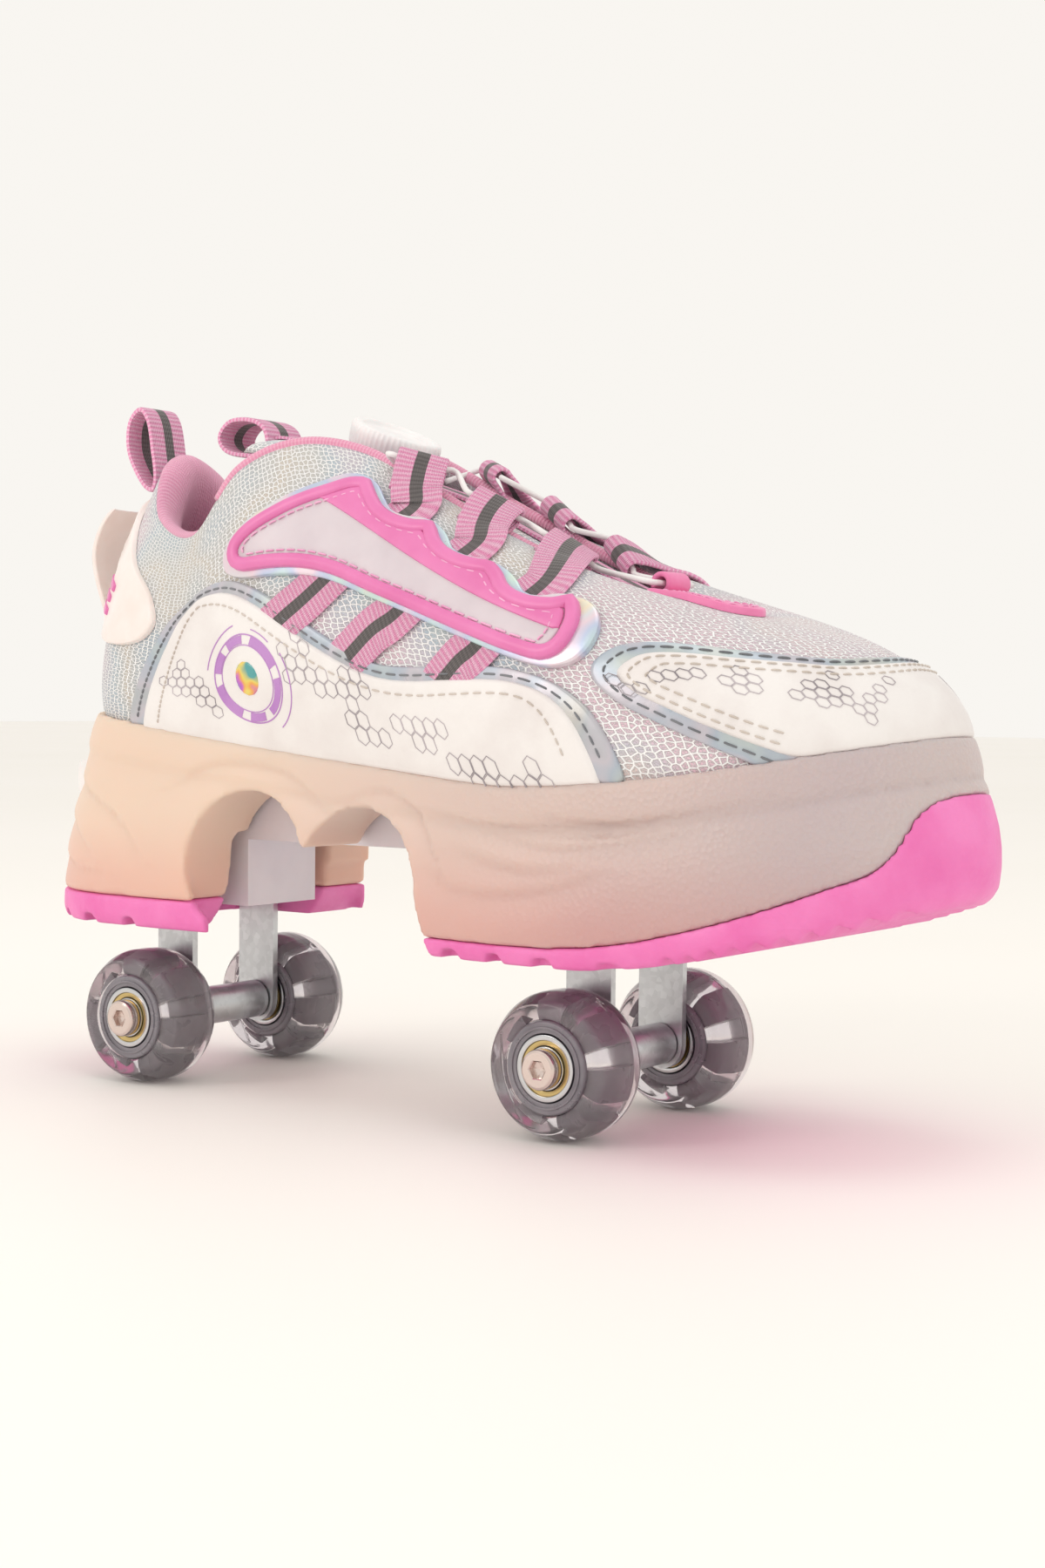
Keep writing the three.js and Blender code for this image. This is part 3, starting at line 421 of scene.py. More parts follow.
def prism_shape(outline, y0, y1):
    """A side-view outline in X and Z with depth in Y."""
    outline = np.asarray(outline, float)
    rings = [np.insert(outline, 1, y, axis=1) for y in (y0, y1)]
    return grid_shape(np.array(rings), False, True, None, caps=True)


# ---- materials --------------------------------------------------------------------------
def hex_color(code):
    """An sRGB hex colour as linear numbers."""
    parts = [int(code[k : k + 2], 16) / 255 for k in (1, 3, 5)]
    linear = [c / 12.92 if c <= 0.04045 else ((c + 0.055) / 1.055) ** 2.4 for c in parts]
    return (*linear, 1)


def add_node(tree, kind, inputs=None, **settings):
    made = tree.nodes.new("ShaderNode" + kind)
    for key, value in settings.items():
        setattr(made, key, value)
    for key, value in (inputs or {}).items():
        if isinstance(value, bpy.types.NodeSocket):
            tree.links.new(value, made.inputs[key])
        else:
            made.inputs[key].default_value = value
    return made


def ramp(tree, factor, stops):
    made = add_node(tree, "ValToRGB", {"Fac": factor})
    elements = made.color_ramp.elements
    while len(elements) < len(stops):
        elements.new(0.5)
    for element, (position, code) in zip(elements, stops):
        element.position = position
        element.color = hex_color(code)
    return made.outputs["Color"]


def math_node(tree, operation, *values):
    return add_node(tree, "Math", dict(enumerate(values)), operation=operation).outputs[0]


def material(name, color, roughness, metallic=0.0, **sockets):
    """A new material with its shader's plain values; returns it, its tree and its shader."""
    made = bpy.data.materials.new(name)
    made.use_nodes = True
    tree = made.node_tree
    shader = tree.nodes["Principled BSDF"]
    shader.inputs["Base Color"].default_value = hex_color(color)
    shader.inputs["Roughness"].default_value = roughness
    shader.inputs["Metallic"].default_value = metallic
    for key, value in sockets.items():
        shader.inputs[key.replace("_", " ")].default_value = value
    return made, tree, shader


def object_point(tree):
    return add_node(tree, "TexCoord").outputs["Object"]


def flat_point(tree):
    return add_node(tree, "UVMap", uv_map="flat").outputs["UV"]


def noise(tree, point, size_mm, detail):
    """Cloudy noise on object coordinates, whose lumps are about size_mm."""
    inputs = {"Vector": point, "Scale": 1 / MM / size_mm, "Detail": detail}
    return add_node(tree, "TexNoise", inputs).outputs["Fac"]


def bumped(tree, shader, height, distance_mm, strength=1.0, under=None):
    inputs = {"Height": height, "Distance": distance_mm * MM, "Strength": strength}
    if under is not None:
        inputs["Normal"] = under
    made = add_node(tree, "Bump", inputs)
    tree.links.new(made.outputs["Normal"], shader.inputs["Normal"])
    return made.outputs["Normal"]


def painted(tree, shader, color):
    tree.links.new(color, shader.inputs["Base Color"])


def clouded(tree, shader, size_mm, detail, stops):
    """Base colour that drifts through the stops in clouds; returns the point it uses."""
    point = object_point(tree)
    cloud = noise(tree, point, size_mm, detail)
    painted(tree, shader, ramp(tree, cloud, stops))
    return point


def mixed(tree, factor, first, second, blend_type="MIX"):
    made = add_node(tree, "Mix", data_type="RGBA", blend_type=blend_type)
    for socket, value in ((0, factor), (6, first), (7, second)):
        if isinstance(value, bpy.types.NodeSocket):
            tree.links.new(value, made.inputs[socket])
        else:
            made.inputs[socket].default_value = value
    return made.outputs[2]


def scuffed(tree, shader, base, spread, size_mm):
    """Roughness that drifts over the surface."""
    cloud = noise(tree, object_point(tree), size_mm, 4)
    value = math_node(tree, "MULTIPLY_ADD", cloud, spread, base - spread / 2)
    tree.links.new(value, shader.inputs["Roughness"])


def midsole_material():
    # Injection-moulded clear thermoplastic: milky, peach over the heel, smoky mauve to the toe,
    # with a fine pebble grain on the forefoot.
    made, tree, shader = material("moulded_clear_tpu", "#DCC3B2", 0.42, IOR=1.48)
    point = object_point(tree)
    parts = add_node(tree, "SeparateXYZ", {"Vector": point}).outputs
    start, end = place([-118, 0, 0])[0], place([165, 0, 0])[0]
    run = add_node(tree, "MapRange", {"Value": parts["X"], "From Min": start, "From Max": end})
    cloud = noise(tree, point, 38, 2)
    drift = math_node(tree, "MULTIPLY_ADD", cloud, 0.12, -0.06)
    along = math_node(tree, "ADD", run.outputs[0], drift)
    upper = ramp(tree, along, [
        (0.0, "#E8CDB8"), (0.3, "#E6CDBA"), (0.5, "#DCC4B8"), (0.72, "#D0BAB3"),
        (0.9, "#C4B4B5"), (1.0, "#CABCBA"),
    ])
    lower = ramp(tree, along, [
        (0.0, "#E3B0A4"), (0.3, "#E6B9A6"), (0.5, "#DDB0A4"), (0.75, "#CC9E9B"), (1.0, "#BFA0A3"),
    ])
    height = add_node(tree, "MapRange", {
        "Value": parts["Z"], "From Min": (SOLE_Z + 4) * MM, "From Max": (SOLE_Z + 34) * MM,
    }, interpolation_type="SMOOTHSTEP").outputs[0]
    painted(tree, shader, mixed(tree, height, lower, upper))
    pebble = add_node(tree, "TexVoronoi", {"Vector": point, "Scale": 1 / (1.3 * MM)})
    forefoot = add_node(tree, "MapRange", {
        "Value": parts["X"], "From Min": place([30, 0, 0])[0], "From Max": place([120, 0, 0])[0],
    }).outputs[0]
    grain = math_node(tree, "MULTIPLY", pebble.outputs["Distance"], forefoot)
    wave = noise(tree, point, 9, 2)
    under = bumped(tree, shader, wave, 0.5, 0.35)
    bumped(tree, shader, grain, 0.3, 0.8, under)
    scuffed(tree, shader, 0.4, 0.16, 12)
    shader.inputs["Subsurface Weight"].default_value = 0.35
    shader.inputs["Subsurface Radius"].default_value = (0.009, 0.0055, 0.004)
    shader.inputs["Subsurface Scale"].default_value = 0.8
    return made


def outsole_material():
    # Moulded rubber: even bubblegum pink, matt, with a fine dotted grain.
    made, tree, shader = material("moulded_pink_rubber", "#EE7ABC", 0.55, IOR=1.5)
    point = clouded(tree, shader, 14, 3, [(0.3, "#EA6FB5"), (0.7, "#F285C4")])
    dots = add_node(tree, "TexVoronoi", {"Vector": point, "Scale": 1 / (1.5 * MM)})
    bumped(tree, shader, dots.outputs["Distance"], 0.22, 0.5)
    scuffed(tree, shader, 0.52, 0.14, 8)
    shader.inputs["Subsurface Weight"].default_value = 0.12
    shader.inputs["Subsurface Radius"].default_value = (0.004, 0.0015, 0.002)
    return made


def mesh_material():
    # Knitted polyester spacer mesh: an irregular net of white threads over a pearly backing
    # that drifts between pale pink, blue and cream. A cell is about 1.9 by 1.4 mm.
    made, tree, shader = material("knitted_spacer_mesh", "#DDE0E6", 0.75, Sheen_Weight=0.25)
    flat = flat_point(tree)
    wobble = add_node(tree, "TexNoise", {"Vector": flat, "Scale": 0.5, "Detail": 2.0})
    bent = mixed(tree, 0.03, flat, wobble.outputs["Color"], "ADD")
    squeezed = add_node(tree, "Mapping", {"Vector": bent, "Scale": (0.52, 0.74, 1)})
    net = add_node(tree, "TexVoronoi", {
        "Vector": squeezed.outputs[0], "Scale": 1.0, "Randomness": 0.62,
    }, feature="DISTANCE_TO_EDGE", voronoi_dimensions="2D").outputs["Distance"]
    fine = add_node(tree, "TexVoronoi", {
        "Vector": squeezed.outputs[0], "Scale": 2.3, "Randomness": 0.9,
    }, feature="DISTANCE_TO_EDGE", voronoi_dimensions="2D").outputs["Distance"]
    thread = add_node(tree, "MapRange", {"Value": net, "From Min": 0.07, "From Max": 0.2,
                                          "To Min": 1.0, "To Max": 0.0}).outputs[0]
    hair = add_node(tree, "MapRange", {"Value": fine, "From Min": 0.03, "From Max": 0.13,
                                        "To Min": 0.75, "To Max": 0.0}).outputs[0]
    strand = math_node(tree, "MAXIMUM", thread, hair)
    drift = noise(tree, object_point(tree), 42, 2)
    pearl = ramp(tree, drift, [
        (0.3, "#BDBBC4"), (0.4, "#E3C0CE"), (0.5, "#B4C6D2"), (0.6, "#D6CBBC"), (0.7, "#B3C2CE"),
    ])
    parts = add_node(tree, "SeparateXYZ", {"Vector": object_point(tree)}).outputs
    vamp = add_node(tree, "MapRange", {
        "Value": parts["X"], "From Min": place([60, 0, 0])[0], "From Max": place([125, 0, 0])[0],
    }).outputs[0]
    pearl = mixed(tree, math_node(tree, "MULTIPLY", vamp, 0.75), pearl, hex_color("#E2C3CF"))
    color = mixed(tree, strand, pearl, hex_color("#FBFBFB"))
    painted(tree, shader, color)
    bumped(tree, shader, strand, 0.5, 0.8)
    scuffed(tree, shader, 0.7, 0.2, 5)
    return made


def knit_material(name, color, dark):
    # Ribbed knit lining: soft cloth with fine wales 1 mm apart and a crosswise stitch.
    made, tree, shader = material(name, color, 0.85, Sheen_Weight=0.4)
    flat = flat_point(tree)
    ribs = add_node(tree, "TexWave", {"Vector": flat, "Scale": 0.31, "Distortion": 0.8,
                                       "Detail": 1.0}, bands_direction="X").outputs["Fac"]
    loops = add_node(tree, "TexWave", {"Vector": flat, "Scale": 0.38, "Distortion": 0.5},
                     bands_direction="Y").outputs["Fac"]
    weave = math_node(tree, "MULTIPLY_ADD", loops, 0.35, ribs)
    tint = math_node(tree, "MULTIPLY", weave, 0.6)
    painted(tree, shader, mixed(tree, tint, hex_color(dark), hex_color(color)))
    bumped(tree, shader, weave, 0.35, 0.7)
    return made


def webbing_material():
    # Woven polyester webbing: pink, ribbed across every 1.3 mm, with a smooth grey stripe
    # down the middle quarter.
    made, tree, shader = material("woven_webbing", "#F08BBF", 0.7, Sheen_Weight=0.3)
    flat = flat_point(tree)
    parts = add_node(tree, "SeparateXYZ", {"Vector": flat}).outputs
    ribs = add_node(tree, "TexWave", {"Vector": flat, "Scale": 0.245, "Distortion": 0.6,
                                       "Detail": 1.0, "Detail Scale": 2.0},
                    bands_direction="X").outputs["Fac"]
    grain = add_node(tree, "TexWave", {"Vector": flat, "Scale": 0.55, "Distortion": 1.0},
                     bands_direction="Y").outputs["Fac"]
    pink = mixed(tree, ribs, hex_color("#F287BC"), hex_color("#FFC4E1"))
    pink = mixed(tree, math_node(tree, "MULTIPLY", grain, 0.25), pink, hex_color("#FFD0E6"))
    away = math_node(tree, "ABSOLUTE", parts["Y"])
    stripe = math_node(tree, "LESS_THAN", away, 1.7)
    grey = mixed(tree, ribs, hex_color("#4B4646"), hex_color("#5E5858"))
    painted(tree, shader, mixed(tree, stripe, pink, grey))
    calm = math_node(tree, "MULTIPLY_ADD", stripe, -0.75, 1.0)
    relief = math_node(tree, "MULTIPLY", math_node(tree, "ADD", ribs, grain), calm)
    bumped(tree, shader, relief, 0.45, 0.8)
    return made


def leather_material(name, color, dark, grain_mm=1.1):
    # Polyurethane-coated synthetic leather: satin, with a fine pebbled grain.
    made, tree, shader = material(name, color, 0.42)
    point = object_point(tree)
    grain = add_node(tree, "TexVoronoi", {"Vector": point, "Scale": 1 / (grain_mm * MM)},
                     feature="SMOOTH_F1").outputs["Distance"]
    cloud = noise(tree, point, 16, 4)
    painted(tree, shader, ramp(tree, cloud, [(0.35, dark), (0.6, color)]))
    bumped(tree, shader, grain, 0.1, 0.5)
    scuffed(tree, shader, 0.42, 0.12, 7)
    return made


def plastic_material(name, color, dark, roughness, clear=0.0, cloud_mm=12, soft=0.15):
    # Injection-moulded plastic: smooth with a faint flow and a satin skin.
    made, tree, shader = material(name, color, roughness, IOR=1.5)
    point = clouded(tree, shader, cloud_mm, 3, [(0.3, dark), (0.65, color)])
    bumped(tree, shader, noise(tree, point, 0.6, 2), 0.03, 0.4)
    scuffed(tree, shader, roughness, 0.1, 6)
    shader.inputs["Transmission Weight"].default_value = clear
    shader.inputs["Subsurface Weight"].default_value = soft
    shader.inputs["Subsurface Radius"].default_value = (0.003, 0.002, 0.002)
    return made


def foil_material(name, metallic, shades):
    # Holographic foil on film: silver that breaks into pale rainbow bands.
    made, tree, shader = material(name, shades[0], 0.28, metallic)
    point = object_point(tree)
    cloud = noise(tree, point, 22, 2)
    place_in_band = math_node(tree, "FRACT", math_node(tree, "MULTIPLY", cloud, 2.6))
    stops = [(k / (len(shades) - 1), shade) for k, shade in enumerate(shades)]
    bands = ramp(tree, place_in_band, stops)
    painted(tree, shader, bands)
    bumped(tree, shader, noise(tree, point, 1.6, 3), 0.06, 0.5)
    scuffed(tree, shader, 0.3, 0.16, 5)
    return made


def steel_material(name, color, roughness, grain_mm=0.8, spangle=0.0):
    # Plated steel: bright metal with drawn lines and small scuffs.
    made, tree, shader = material(name, color, roughness, 1.0)
    point = object_point(tree)
    if spangle:
        flake = add_node(tree, "TexVoronoi", {"Vector": point, "Scale": 1 / (spangle * MM)})
        tone = mixed(tree, flake.outputs["Color"], hex_color("#C0C3C5"), hex_color(color))
        painted(tree, shader, tone)
    lines = add_node(tree, "Mapping", {"Vector": point, "Scale": (1, 1, 0.08)})
    streak = noise(tree, lines.outputs[0], grain_mm, 3)
    bumped(tree, shader, streak, 0.02, 0.35)
    scuffed(tree, shader, roughness, 0.16, 2.5)
    return made


def urethane_material():
    # Cast polyurethane: smoky glass-clear with a mauve cast and a soft skin.
    made, tree, shader = material("cast_smoke_urethane", "#EFEAEC", 0.05, IOR=1.33)
    point = clouded(tree, shader, 10, 3, [(0.3, "#E2DADF"), (0.7, "#F3EFF1")])
    bumped(tree, shader, noise(tree, point, 3, 3), 0.04, 0.3)
    scuffed(tree, shader, 0.08, 0.08, 6)
    shader.inputs["Transmission Weight"].default_value = 0.93
    return made


def gem_material():
    # Domed resin drop over a rainbow print.
    made, tree, shader = material("rainbow_resin", "#9C7BD0", 0.12, Coat_Weight=0.6)
    point = clouded(tree, shader, 6, 1, [
        (0.3, "#7E4FC0"), (0.42, "#C45CC0"), (0.5, "#E9A24E"), (0.56, "#E6D060"), (0.66, "#4FA0A0"),
    ])
    bumped(tree, shader, noise(tree, point, 4, 2), 0.05, 0.3)
    return made


FINISH = {
    "tpu": midsole_material(),
    "rubber": outsole_material(),
    "mesh": mesh_material(),
    "lining": knit_material("ribbed_knit_lining", "#FCBFD9", "#F3A0C4"),
    "binding": knit_material("braided_binding", "#F7BBD2", "#EC95B8"),
    "footbed": knit_material("brushed_footbed", "#F3B4CF", "#E79ABD"),
    "webbing": webbing_material(),
    "white_leather": leather_material("coated_white_leather", "#EEEAE8", "#E6E0DE"),
    "pink_leather": leather_material("coated_pink_leather", "#F088B8", "#E877AB", 0.9),
    "bead": plastic_material("moulded_pink_bead", "#E57FB8", "#DE73AE", 0.34),
    "window": plastic_material("frosted_grey_film", "#D8CDD3", "#D0C4CB", 0.3),
    "clip": plastic_material("frosted_clear_clip", "#F6ECE8", "#F0E2DC", 0.34, 0.0, 12, 0.4),
    "foil": foil_material("holographic_foil", 0.35, [
        "#DADDE0", "#E6D3DC", "#BFCBE3", "#C8E2DB", "#E8DDC4", "#DADDE0"]),
    "piping": foil_material("silver_piping", 0.25, [
        "#B4B8BC", "#C3BEC6", "#AEB8C4", "#BAC4C4", "#C2BFBA", "#B4B8BC"]),
    "white_plastic": plastic_material("moulded_white_abs", "#F3F1F1", "#E9E6E8", 0.3, 0.0, 9, 0.3),
    "housing": plastic_material("moulded_milky_nylon", "#EBE6EC", "#E0DAE2", 0.36, 0.0, 20, 0.3),
    "urethane": urethane_material(),
    "core": plastic_material("moulded_grey_core", "#98939A", "#837E86", 0.28, 0.2, 8),
    "zinc": steel_material("galvanised_steel", "#D3D6D8", 0.38, 1.2, 1.6),
    "nickel": steel_material("nickel_plated_steel", "#D9C9C2", 0.2),
    "race": steel_material("ground_bearing_steel", "#C9CACC", 0.18),
    "shield": steel_material("zinc_yellow_shield", "#C9B27A", 0.3),
    # Painted shade: near-black plastic for the ring that stands for the shadowed gap between inner race
    # and shield.
    "dark": plastic_material("painted_gap_shade", "#3A3536", "#2C2829", 0.5, 0.0, 4, 0.0),
    # Thread, cord and ink borrow the coated leather's satin grain in their own colours.
    "grey_thread": leather_material("grey_thread", "#7D7F84", "#6A6C71", 0.4),
    "white_thread": leather_material("offwhite_thread", "#D2C8BF", "#C4B9AF", 0.4),
    "pink_thread": leather_material("pink_thread", "#F2B6D6", "#E59CC4", 0.4),
    "lace": leather_material("braided_white_lace", "#F5F4F3", "#E9E7E6", 0.5),
    "grey_print": leather_material("grey_ink", "#C3BABF", "#857D83", 0.6),
    "purple_print": leather_material("purple_ink", "#C08CCB", "#B57DC2", 0.6),
    "gem": gem_material(),
}


# ---- pieces -----------------------------------------------------------------------------
def new_object(name, data):
    made = bpy.data.objects.new(name, data)
    bpy.context.scene.collection.objects.link(made)
    return made


def clean(mesh, outwards=True):
    """Joins doubled points and, on a closed mesh, turns every face outwards."""
    work = bmesh.new()
    work.from_mesh(mesh)
    bmesh.ops.remove_doubles(work, verts=work.verts, dist=1e-6)
    if outwards:
        bmesh.ops.recalc_face_normals(work, faces=work.faces)
    work.to_mesh(mesh)
    work.free()


def piece(name, shape, finish, body, stands_for=(), sharp=40, sheet=False):
    points, faces, corners = shape
    mesh = bpy.data.meshes.new(name)
    mesh.from_pydata([tuple(p) for p in place(points)], [], faces)
    layer = mesh.uv_layers.new(name="flat")
    layer.data.foreach_set("uv", np.array([uv for face in corners for uv in face], float).ravel())
    clean(mesh, not sheet)
    mesh.polygons.foreach_set("use_smooth", [True] * len(mesh.polygons))
    mesh.set_sharp_from_angle(angle=math.radians(sharp))
    mesh.materials.append(FINISH[finish])
    made = new_object(name, mesh)
    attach(made, body)
    if stands_for:
        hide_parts(*([stands_for] if isinstance(stands_for, str) else stands_for))
    return made


def dress(node, finish, bevel=0.3):
    """A CAD node that keeps its shape: a real material and softened edges."""
    made = frame["nodes"][node]
    made.data.materials.clear()
    made.data.materials.append(FINISH[finish])
    if bevel:
        soft = made.modifiers.new("edges", "BEVEL")
        soft.width = bevel * MM
        soft.segments = 2
        soft.limit_method = "ANGLE"
        soft.angle_limit = math.radians(40)


# ---- sole -------------------------------------------------------------------------------
WHEEL_R = 18
LEG_LENGTH = PIVOT_Z - WHEEL_R
TRACK = 54.6
WHEEL_WIDTH = 18.4
WHEEL_OUT = (TRACK + WHEEL_WIDTH) / 2
LEG_OUT = TRACK / 2 - WHEEL_WIDTH / 2 - 0.5
HEAD_OUT = 40.2
FOLD_SIGN = {"rear": 1, "front": -1}
BEARING_HALF = 2.5
RACES = ((6.7, 8.0), (4.0, 5.2))
# Cutting shapes reach past the sole: to each side, below, behind and ahead.
BESIDE = 60
BELOW = SOLE_Z - 5
BEHIND = -130
AHEAD = 175


def sole_ring(columns, bottom_share, top_share, height_of, bulge=0.0):
    station = np.linspace(0, STATIONS, columns, endpoint=False)
    top, bottom = blend(INSETS, station).T
    xy = plan_point(station, bottom * bottom_share + top * top_share - bulge)
    return np.column_stack([xy, height_of(xy[:, 0])])


def sole_shape():
    columns = 240

    def share(part):
        return lambda x: underside_z(x) + (feather_z(x) - underside_z(x)) * part

    def below_top(drop):
        return lambda x: feather_z(x) - drop

    # How far in towards the bottom and the top outline, the height, and a bulge outwards.
    rows = [
        (1, 0, underside_z), (0.6, 0, lambda x: underside_z(x) + 1),
        (0.3, 0, lambda x: underside_z(x) + 3), (0.1, 0.05, share(0.2)), (0, 0.12, share(0.32)),
        (0, 0.2, share(0.45)), (0, 0.38, share(0.6)), (0, 0.55, share(0.72)),
        (0, 0.68, below_top(10.5)), (0, 0.72, below_top(9.2), 0.1), (0, 0.74, below_top(8.6), 0.8),
        (0, 0.78, below_top(7.4), 1.1), (0, 0.86, below_top(4), 1.1), (0, 0.94, below_top(1.2), 0.9),
        (0, 1, lambda x: feather_z(x) + 0.7, 0.7), (0, 1, lambda x: feather_z(x) + 1.1, 0.1),
        (0, 1, lambda x: feather_z(x) + 0.2, -1.3),
    ]
    rings = [sole_ring(columns, *row) for row in rows]
    points, faces, corners = grid_shape(np.array(rings), False, True)
    last = (len(rings) - 1) * columns
    for start, turn in ((0, 1), (last, -1)):
        for face in closing_faces(start, columns, turn):
            faces.append(face)
            corners.append([(0, 0)] * len(face))
    return points, faces, corners


def arc(centre, radius, start, end, steps=20):
    angles = np.linspace(start, end, steps)
    return [(centre[0] + radius * math.cos(a), centre[1] + radius * math.sin(a)) for a in angles]


def arch_outline():
    first, second, radius, crown = -24.8, 13.5, 20, 60.6
    bow = [(-38, 47), (-41.2, 49.4), (-43.6, 54.2), (-44.7, 58.4)]
    return (
        [(-37, BELOW)] + bow + arc((first, crown), radius, math.pi, 0.34)
        + arc((second, crown - 3), radius, 2.68, 0) + [(39, SOLE_Z), (39, BELOW)]
    )


def truck_rooms(end):
    """What the folding truck sweeps: wheels, bolt heads and the legs' slot."""
    pivot, sign, run = PIVOT[end][0] - ORIGIN[0], FOLD_SIGN[end], 0.9
    start, stop = -math.pi / 2, (0 if sign > 0 else -math.pi)
    rooms = []
    for half_height, half_width in ((WHEEL_R, WHEEL_OUT + 0.4), (5, HEAD_OUT)):
        centre = (pivot, PIVOT_Z)
        outer = arc(centre, LEG_LENGTH + half_height + run, start, stop, 24)
        inner = arc(centre, LEG_LENGTH - half_height - run, stop, start, 24)
        rooms.append(prism_shape(outer + inner, -half_width, half_width))
        round_end = arc((pivot + sign * LEG_LENGTH, PIVOT_Z), half_height + run, 0, 2 * math.pi, 40)
        rooms.append(prism_shape(round_end[:-1], -half_width, half_width))
    slot, reach = LEG_OUT + 2.7, LEG_LENGTH + WHEEL_R
    for x0, x1 in ((pivot - 8, pivot + 8), sorted((pivot, pivot + sign * reach))):
        low, high = BELOW, PIVOT_Z + 8
        rooms.append(prism_shape(box_outline(x0, x1, low, high), -slot, slot))
    return rooms


def mechanism_rooms():
    low, high = node_box("housing")
    half = high[1] + GAP
    button_low, button_high = node_box("release_button")
    spring_low = node_box("return_spring")[0]
    return [
        prism_shape(box_outline(low[0] - GAP, high[0] + GAP, 65.8, high[2] + GAP), -half, half),
        prism_shape(box_outline(-77.4, 77.4, BELOW, 67), -half, half),
        prism_shape(
            box_outline(BEHIND, low[0], button_low[2] - 0.6, button_high[2] + 0.6),
            button_low[1] - 0.6, button_high[1] + 0.6,
        ),
        prism_shape(
            box_outline(-100, low[0], spring_low[2] - GAP, button_low[2]),
            button_low[1] - 0.6, button_high[1] + 0.6,
        ),
    ]


def loose_object(name, shape):
    points, faces, _ = shape
    mesh = bpy.data.meshes.new(name)
    mesh.from_pydata([tuple(p) for p in place(points)], [], faces)
    clean(mesh)
    return new_object(name, mesh)


def settled(made):
    """Applies an object's modifiers to its mesh."""
    graph = bpy.context.evaluated_depsgraph_get()
    mesh = bpy.data.meshes.new_from_object(made.evaluated_get(graph))
    made.modifiers.clear()
    made.data = mesh


def carve(made, shapes, operation="DIFFERENCE"):
    for shape in shapes:
        cutter = loose_object("cutter", shape)
        cut = made.modifiers.new("cut", "BOOLEAN")
        cut.operation, cut.solver, cut.object = operation, "MANIFOLD", cutter
        settled(made)
        bpy.data.objects.remove(cutter)


def moulded(name, keep, cuts, finish, node, voxel, relief=None):
    """A sole part: kept from the sole block, cut, then softened as a mould leaves it."""
    made = loose_object(name, SOLE)
    carve(made, [keep], "INTERSECT")
    carve(made, cuts)
    remesh = made.modifiers.new("even", "REMESH")
    remesh.mode, remesh.voxel_size = "VOXEL", voxel * MM
    soft = made.modifiers.new("soft", "SMOOTH")
    soft.factor, soft.iterations = 0.5, 4
    settled(made)
    if relief:
        count = len(made.data.vertices)
        points, normals = np.empty(count * 3), np.empty(count * 3)
        made.data.vertices.foreach_get("co", points)
        made.data.vertices.foreach_get("normal", normals)
        points, normals = points.reshape(-1, 3), normals.reshape(-1, 3)
        lift = relief(points / MM - ORIGIN, normals)
        made.data.vertices.foreach_set("co", (points + normals * lift[:, None] * MM).ravel())
    count = len(made.data.polygons)
    made.data.materials.clear()
    made.data.materials.append(FINISH[finish])
    made.data.polygons.foreach_set("material_index", [0] * count)
    made.data.polygons.foreach_set("use_smooth", [True] * count)
    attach(made, "shoe")
    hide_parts(node)
    return made


def front_split(lift, far):
    base = SOLE_Z + BALL_OUTSOLE + lift
    rises = smooth_line([
        [20, 0], [60, 0], [78, 0.5], [95, 2.5], [112, 6.5], [127, 11.2], [140, 16.5], [148, 20.5],
        [151.5 - lift, 26], [153.5 - lift, 33], [157, 36.8], [163, 37.3], [AHEAD, 37.5],
    ], 2, False)
    return [(x, base + rise) for x, rise in rises] + [(AHEAD, far), (20, far)]


# Flame-like lines moulded into the midsole's side: side-view points, and the width of each.
FLAMES = [
    ([(58, 73), (76, 70.5), (98, 73), (116, 76.5)], 2.4), ([(46, 69), (66, 65), (84, 66)], 2.8),
    ([(36, 64), (52, 59), (74, 60.5), (92, 66)], 2.6), ([(70, 78), (92, 76.5), (104, 78)], 1.8),
    ([(-110, 74), (-96, 70), (-78, 60)], 2.6), ([(-106, 62), (-92, 58), (-74, 57)], 2.4),
    ([(-108, 84), (-92, 80), (-72, 72), (-60, 60)], 2.6),
    ([(30, 79), (60, 75), (96, 77), (130, 84)], 2.0),
    ([(-52, 80), (-36, 87), (-14, 86), (0, 78), (8, 73)], 2.2),
    ([(8, 79), (22, 82), (34, 76), (44, 60)], 2.2),
]


def flame_relief(points, normals):
    lift = np.zeros(len(points))
    side = np.abs(normals[:, 1]) > 0.35
    for line, width in FLAMES:
        dense = smooth_line(line, 1.5, False)
        run = np.linspace(0, 1, len(dense))
        first, last = dense[:, 0].min() - 8, dense[:, 0].max() + 8
        near = side & (points[:, 0] > first) & (points[:, 0] < last)
        apart = np.linalg.norm(points[near][:, None, ::2] - dense[None], axis=-1)
        closest = apart.argmin(1)
        taper = np.sin(np.pi * np.clip(run[closest] * 0.92 + 0.04, 0, 1)) ** 0.7
        reach = apart[np.arange(len(closest)), closest]
        above = points[near][:, 2] > dense[closest][:, 1]
        spread = width * np.where(above, 0.45, 2)
        fade = np.exp(-((reach / spread) ** 2))
        lift[near] -= 1.2 * taper * fade
    return lift


SOLE = sole_shape()
# The heel block's front corner on the inner side stands back from the one on the outer side.
INNER_CORNER = prism_shape(box_outline(-46.5, -30, BELOW, 58), 20, BESIDE)
ROOMS = [prism_shape(arch_outline(), -BESIDE, BESIDE), INNER_CORNER]
ROOMS += truck_rooms("rear") + truck_rooms("front") + mechanism_rooms()


def saw_teeth():
    """Slanted notches across the underside of the toe."""
    cuts = []
    for x in np.arange(106, 152, 5):
        z = float(underside_z(x))
        tooth = [(x - 3.8, z - 2.5), (x + 2.4, z - 2.5), (x + 1.6, z + 3.2)]
        cuts.append(prism_shape(tooth, -BESIDE, BESIDE))
    return cuts


